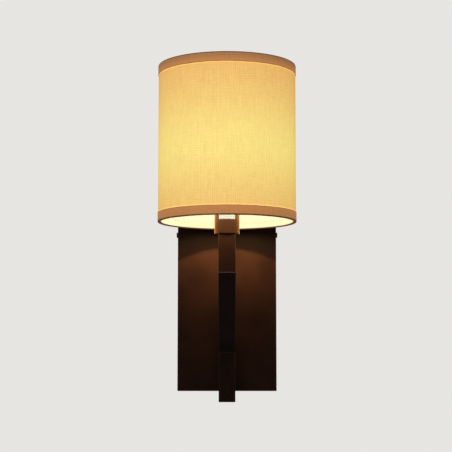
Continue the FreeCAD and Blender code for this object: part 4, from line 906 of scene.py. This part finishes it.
def dress_moulded_parts():
    dress(
        moulded("terminal_plastic", (0.78, 0.77, 0.72), (0.86, 0.85, 0.80), 0.42),
        "terminal_block",
    )
    dress(
        moulded("holder_plastic", *BLACK_PLASTIC, 0.30),
        "holder_cap", "holder_body", "shade_clamp_ring",
    )
    dress(
        moulded("holder_ceramic", (0.82, 0.79, 0.70), (0.90, 0.88, 0.82), 0.18, 0.9 * MM),
        "holder_core",
    )
    dress(
        moulded(
            "grommet_rubber", (0.012, 0.012, 0.012), (0.028, 0.027, 0.026), 0.78,
            0.3 * MM, 0.03 * MM,
        ),
        "wire_grommet",
    )
    dress(
        moulded(
            "white_powder_coat", (0.76, 0.74, 0.68), (0.84, 0.82, 0.77), 0.42,
            0.45 * MM, 0.03 * MM, glow=0.40,
        ),
        "shade_top_ring", "shade_bottom_ring", "carrier_arms", "carrier_ring",
    )
    dress(
        moulded("cap_glass", (0.010, 0.010, 0.014), (0.022, 0.021, 0.026), 0.10),
        "bulb_insulator",
    )


def dress_wires_and_glass():
    dress(wire_sleeve("brown_sleeve", (0.085, 0.026, 0.012)), "live_wire")
    dress(wire_sleeve("blue_sleeve", (0.012, 0.075, 0.33)), "neutral_wire")
    dress(wire_sleeve("green_sleeve", (0.02, 0.22, 0.035), (0.72, 0.60, 0.03)), "earth_wire")
    dress(shade_sheet(), "shade_liner")
    dress(lit_glass(), "bulb_glass")
    dress(clear_glass(), "bulb_stem")


# Camera, lights and floor
def look_at(holder, place, target):
    """Puts a light at a place and turns it to a target."""
    holder.location = place
    aim = np.array(target) - np.array(place)
    holder.rotation_euler = Vector(aim).to_track_quat("-Z", "Y").to_euler()


def make_camera():
    """A long lens near the height of the arm's foot that looks slightly up."""
    camera = add_object("camera", bpy.data.cameras.new("camera"))
    camera.data.sensor_width = 36
    camera.data.lens = 110.1
    camera.location = (-1.2 * MM, -1698.8 * MM, -173.6 * MM)
    camera.rotation_euler = (math.radians(90 + 6.25), 0, 0)
    camera.data.clip_start = 0.05
    camera.data.clip_end = 100
    bpy.context.scene.camera = camera


def add_window(name, place, width, power, colour):
    """A square studio light that looks at the lamp."""
    lamp_middle = (0, -0.1, 0)
    light = bpy.data.lights.new(name, "AREA")
    light.shape = "SQUARE"
    light.size = width
    light.energy = power
    light.color = colour
    look_at(add_object(name, light), place, lamp_middle)


def link_light(holder, lit, clear):
    """The light falls only on some nodes, and others cast no shadow in it."""
    linking = holder.light_linking
    linking.receiver_collection = bpy.data.collections.new(holder.name + "_lit")
    for name in lit:
        linking.receiver_collection.objects.link(nodes[name])
    linking.blocker_collection = bpy.data.collections.new(holder.name + "_clear")
    for name in clear:
        linking.blocker_collection.objects.link(nodes[name])
    for entry in linking.blocker_collection.collection_objects:
        entry.light_linking.link_state = "EXCLUDE"


def make_filament_light():
    """A warm spot in the middle of the bulb, which it goes with. It looks down at the back
    plate with a soft cone that is wider than it is deep, and throws the arc there."""
    place = (0, -COLUMN_DEPTH, FILAMENT_HEIGHT)
    plate_face = (0, -PLATE_DEPTH, 1 * MM)
    lamp = bpy.data.lights.new("filament_light", "SPOT")
    lamp.energy = 17.8
    lamp.color = (1, 0.57, 0.21)
    lamp.shadow_soft_size = 6 * MM
    lamp.spot_size = math.radians(53)
    lamp.spot_blend = 1.0
    holder = add_object("filament_light", lamp)
    look_at(holder, place, plate_face)
    holder.scale = (1.6, 1, 1)
    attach(holder, "bulb")
    link_light(
        holder, ("back_plate", "side_screws", "arm", "arm_end_cap", "socket_cup"),
        ("bulb_glass", "bulb_stem", "bulb_filament"),
    )


def make_shade_light():
    """A disk in the lower end of the shade, level with the upper part of the cup, that
    stands for the shade's pale inside. It leans a little, so it stays with the fixed body
    instead of turning with the shade."""
    level = 16 * MM
    lean = math.radians(9)
    disk = bpy.data.lights.new("shade_light", "AREA")
    disk.shape = "DISK"
    disk.size = 120 * MM
    disk.energy = 1.25
    disk.color = (1, 0.62, 0.29)
    over = add_object("shade_light", disk)
    over.location = (0, -COLUMN_DEPTH, level)
    over.rotation_euler = (lean, 0, 0)
    over.visible_camera = False
    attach(over, "root")
    link_light(
        over, ("socket_cup", "arm", "back_plate", "side_screws"),
        (
            "holder_cap", "holder_body", "holder_core", "shade_clamp_ring",
            "carrier_ring", "carrier_arms",
        ),
    )


def make_world():
    """Pale background for the camera and reflections, softer light for the object."""
    world = bpy.data.worlds.new("studio")
    bpy.context.scene.world = world
    shader = Shader(world, "OutputWorld")
    pale = shader.node("Background", None, {"Color": STUDIO_PALE, "Strength": 1.0})
    soft = shader.node("Background", None, {"Color": (1, 0.98, 0.95), "Strength": 0.50})
    shader.show(shader.node("MixShader", None, {0: shader.seen(), 1: soft, 2: pale}))


def make_floor():
    """A pale floor. To the camera and in reflections it is as pale as the background and
    keeps its shadows, while it sends less light up under the lamp."""
    finish = Finish(
        "pale_floor", Base_Color=STUDIO_PALE, Roughness=0.9, Specular_IOR_Level=0.0,
        Emission_Color=STUDIO_PALE, Emission_Strength=0.48,
    )
    dull = finish.node("BsdfDiffuse", None, {"Color": (0.34, 0.33, 0.32)})
    pale = Channel(finish, finish.surface.outputs["BSDF"])
    finish.show(finish.node("MixShader", None, {0: finish.seen(), 1: dull, 2: pale}))
    half = 12.0
    level = -1.7
    mesh = bpy.data.meshes.new("floor")
    plan = ((-half, -half), (half, -half), (half, half), (-half, half))
    mesh.from_pydata([(x, y, level) for x, y in plan], [], [(0, 1, 2, 3)])
    mesh.materials.append(finish.material)
    floor = add_object("floor", mesh)


def make_studio():
    make_camera()
    make_world()
    make_floor()
    make_filament_light()
    make_shade_light()
    add_window("key_light", (-1.1, -1.6, 1.1), 1.3, 18, (1, 0.98, 0.95))
    add_window("fill_light", (1.2, -1.5, 0.3), 1.2, 8, (1, 0.97, 0.93))
    bpy.context.scene.view_settings.view_transform = "Standard"


make_studio()
dress_painted_metal()
dress_plain_metal()
dress_moulded_parts()
dress_wires_and_glass()
make_shade_cloth(linen_cloth())
# Each hem's last colour is the painted shade of its fold
make_hem(
    "top_hem", linen_hem("linen_top_hem", SHADE_TOP, -1, 0.1, (0.11, 0.048, 0.021)),
    "shade_top_hem", at_top=True, notched=False, seed=11,
)
make_hem(
    "bottom_hem", linen_hem("linen_bottom_hem", SHADE_BOTTOM, 1, 0.75, (0.060, 0.024, 0.008)),
    "shade_bottom_hem", at_top=False, notched=True, seed=17,
)
make_cup_label(label_paper())
make_bulb_thread(
    metal("nickel_cap", (0.72, 0.71, 0.67), (0.50, 0.48, 0.43), 0.26, (1, 1, 1), 0.5 * MM)
)
make_holder_thread(moulded("thread_plastic", *BLACK_PLASTIC, 0.34))
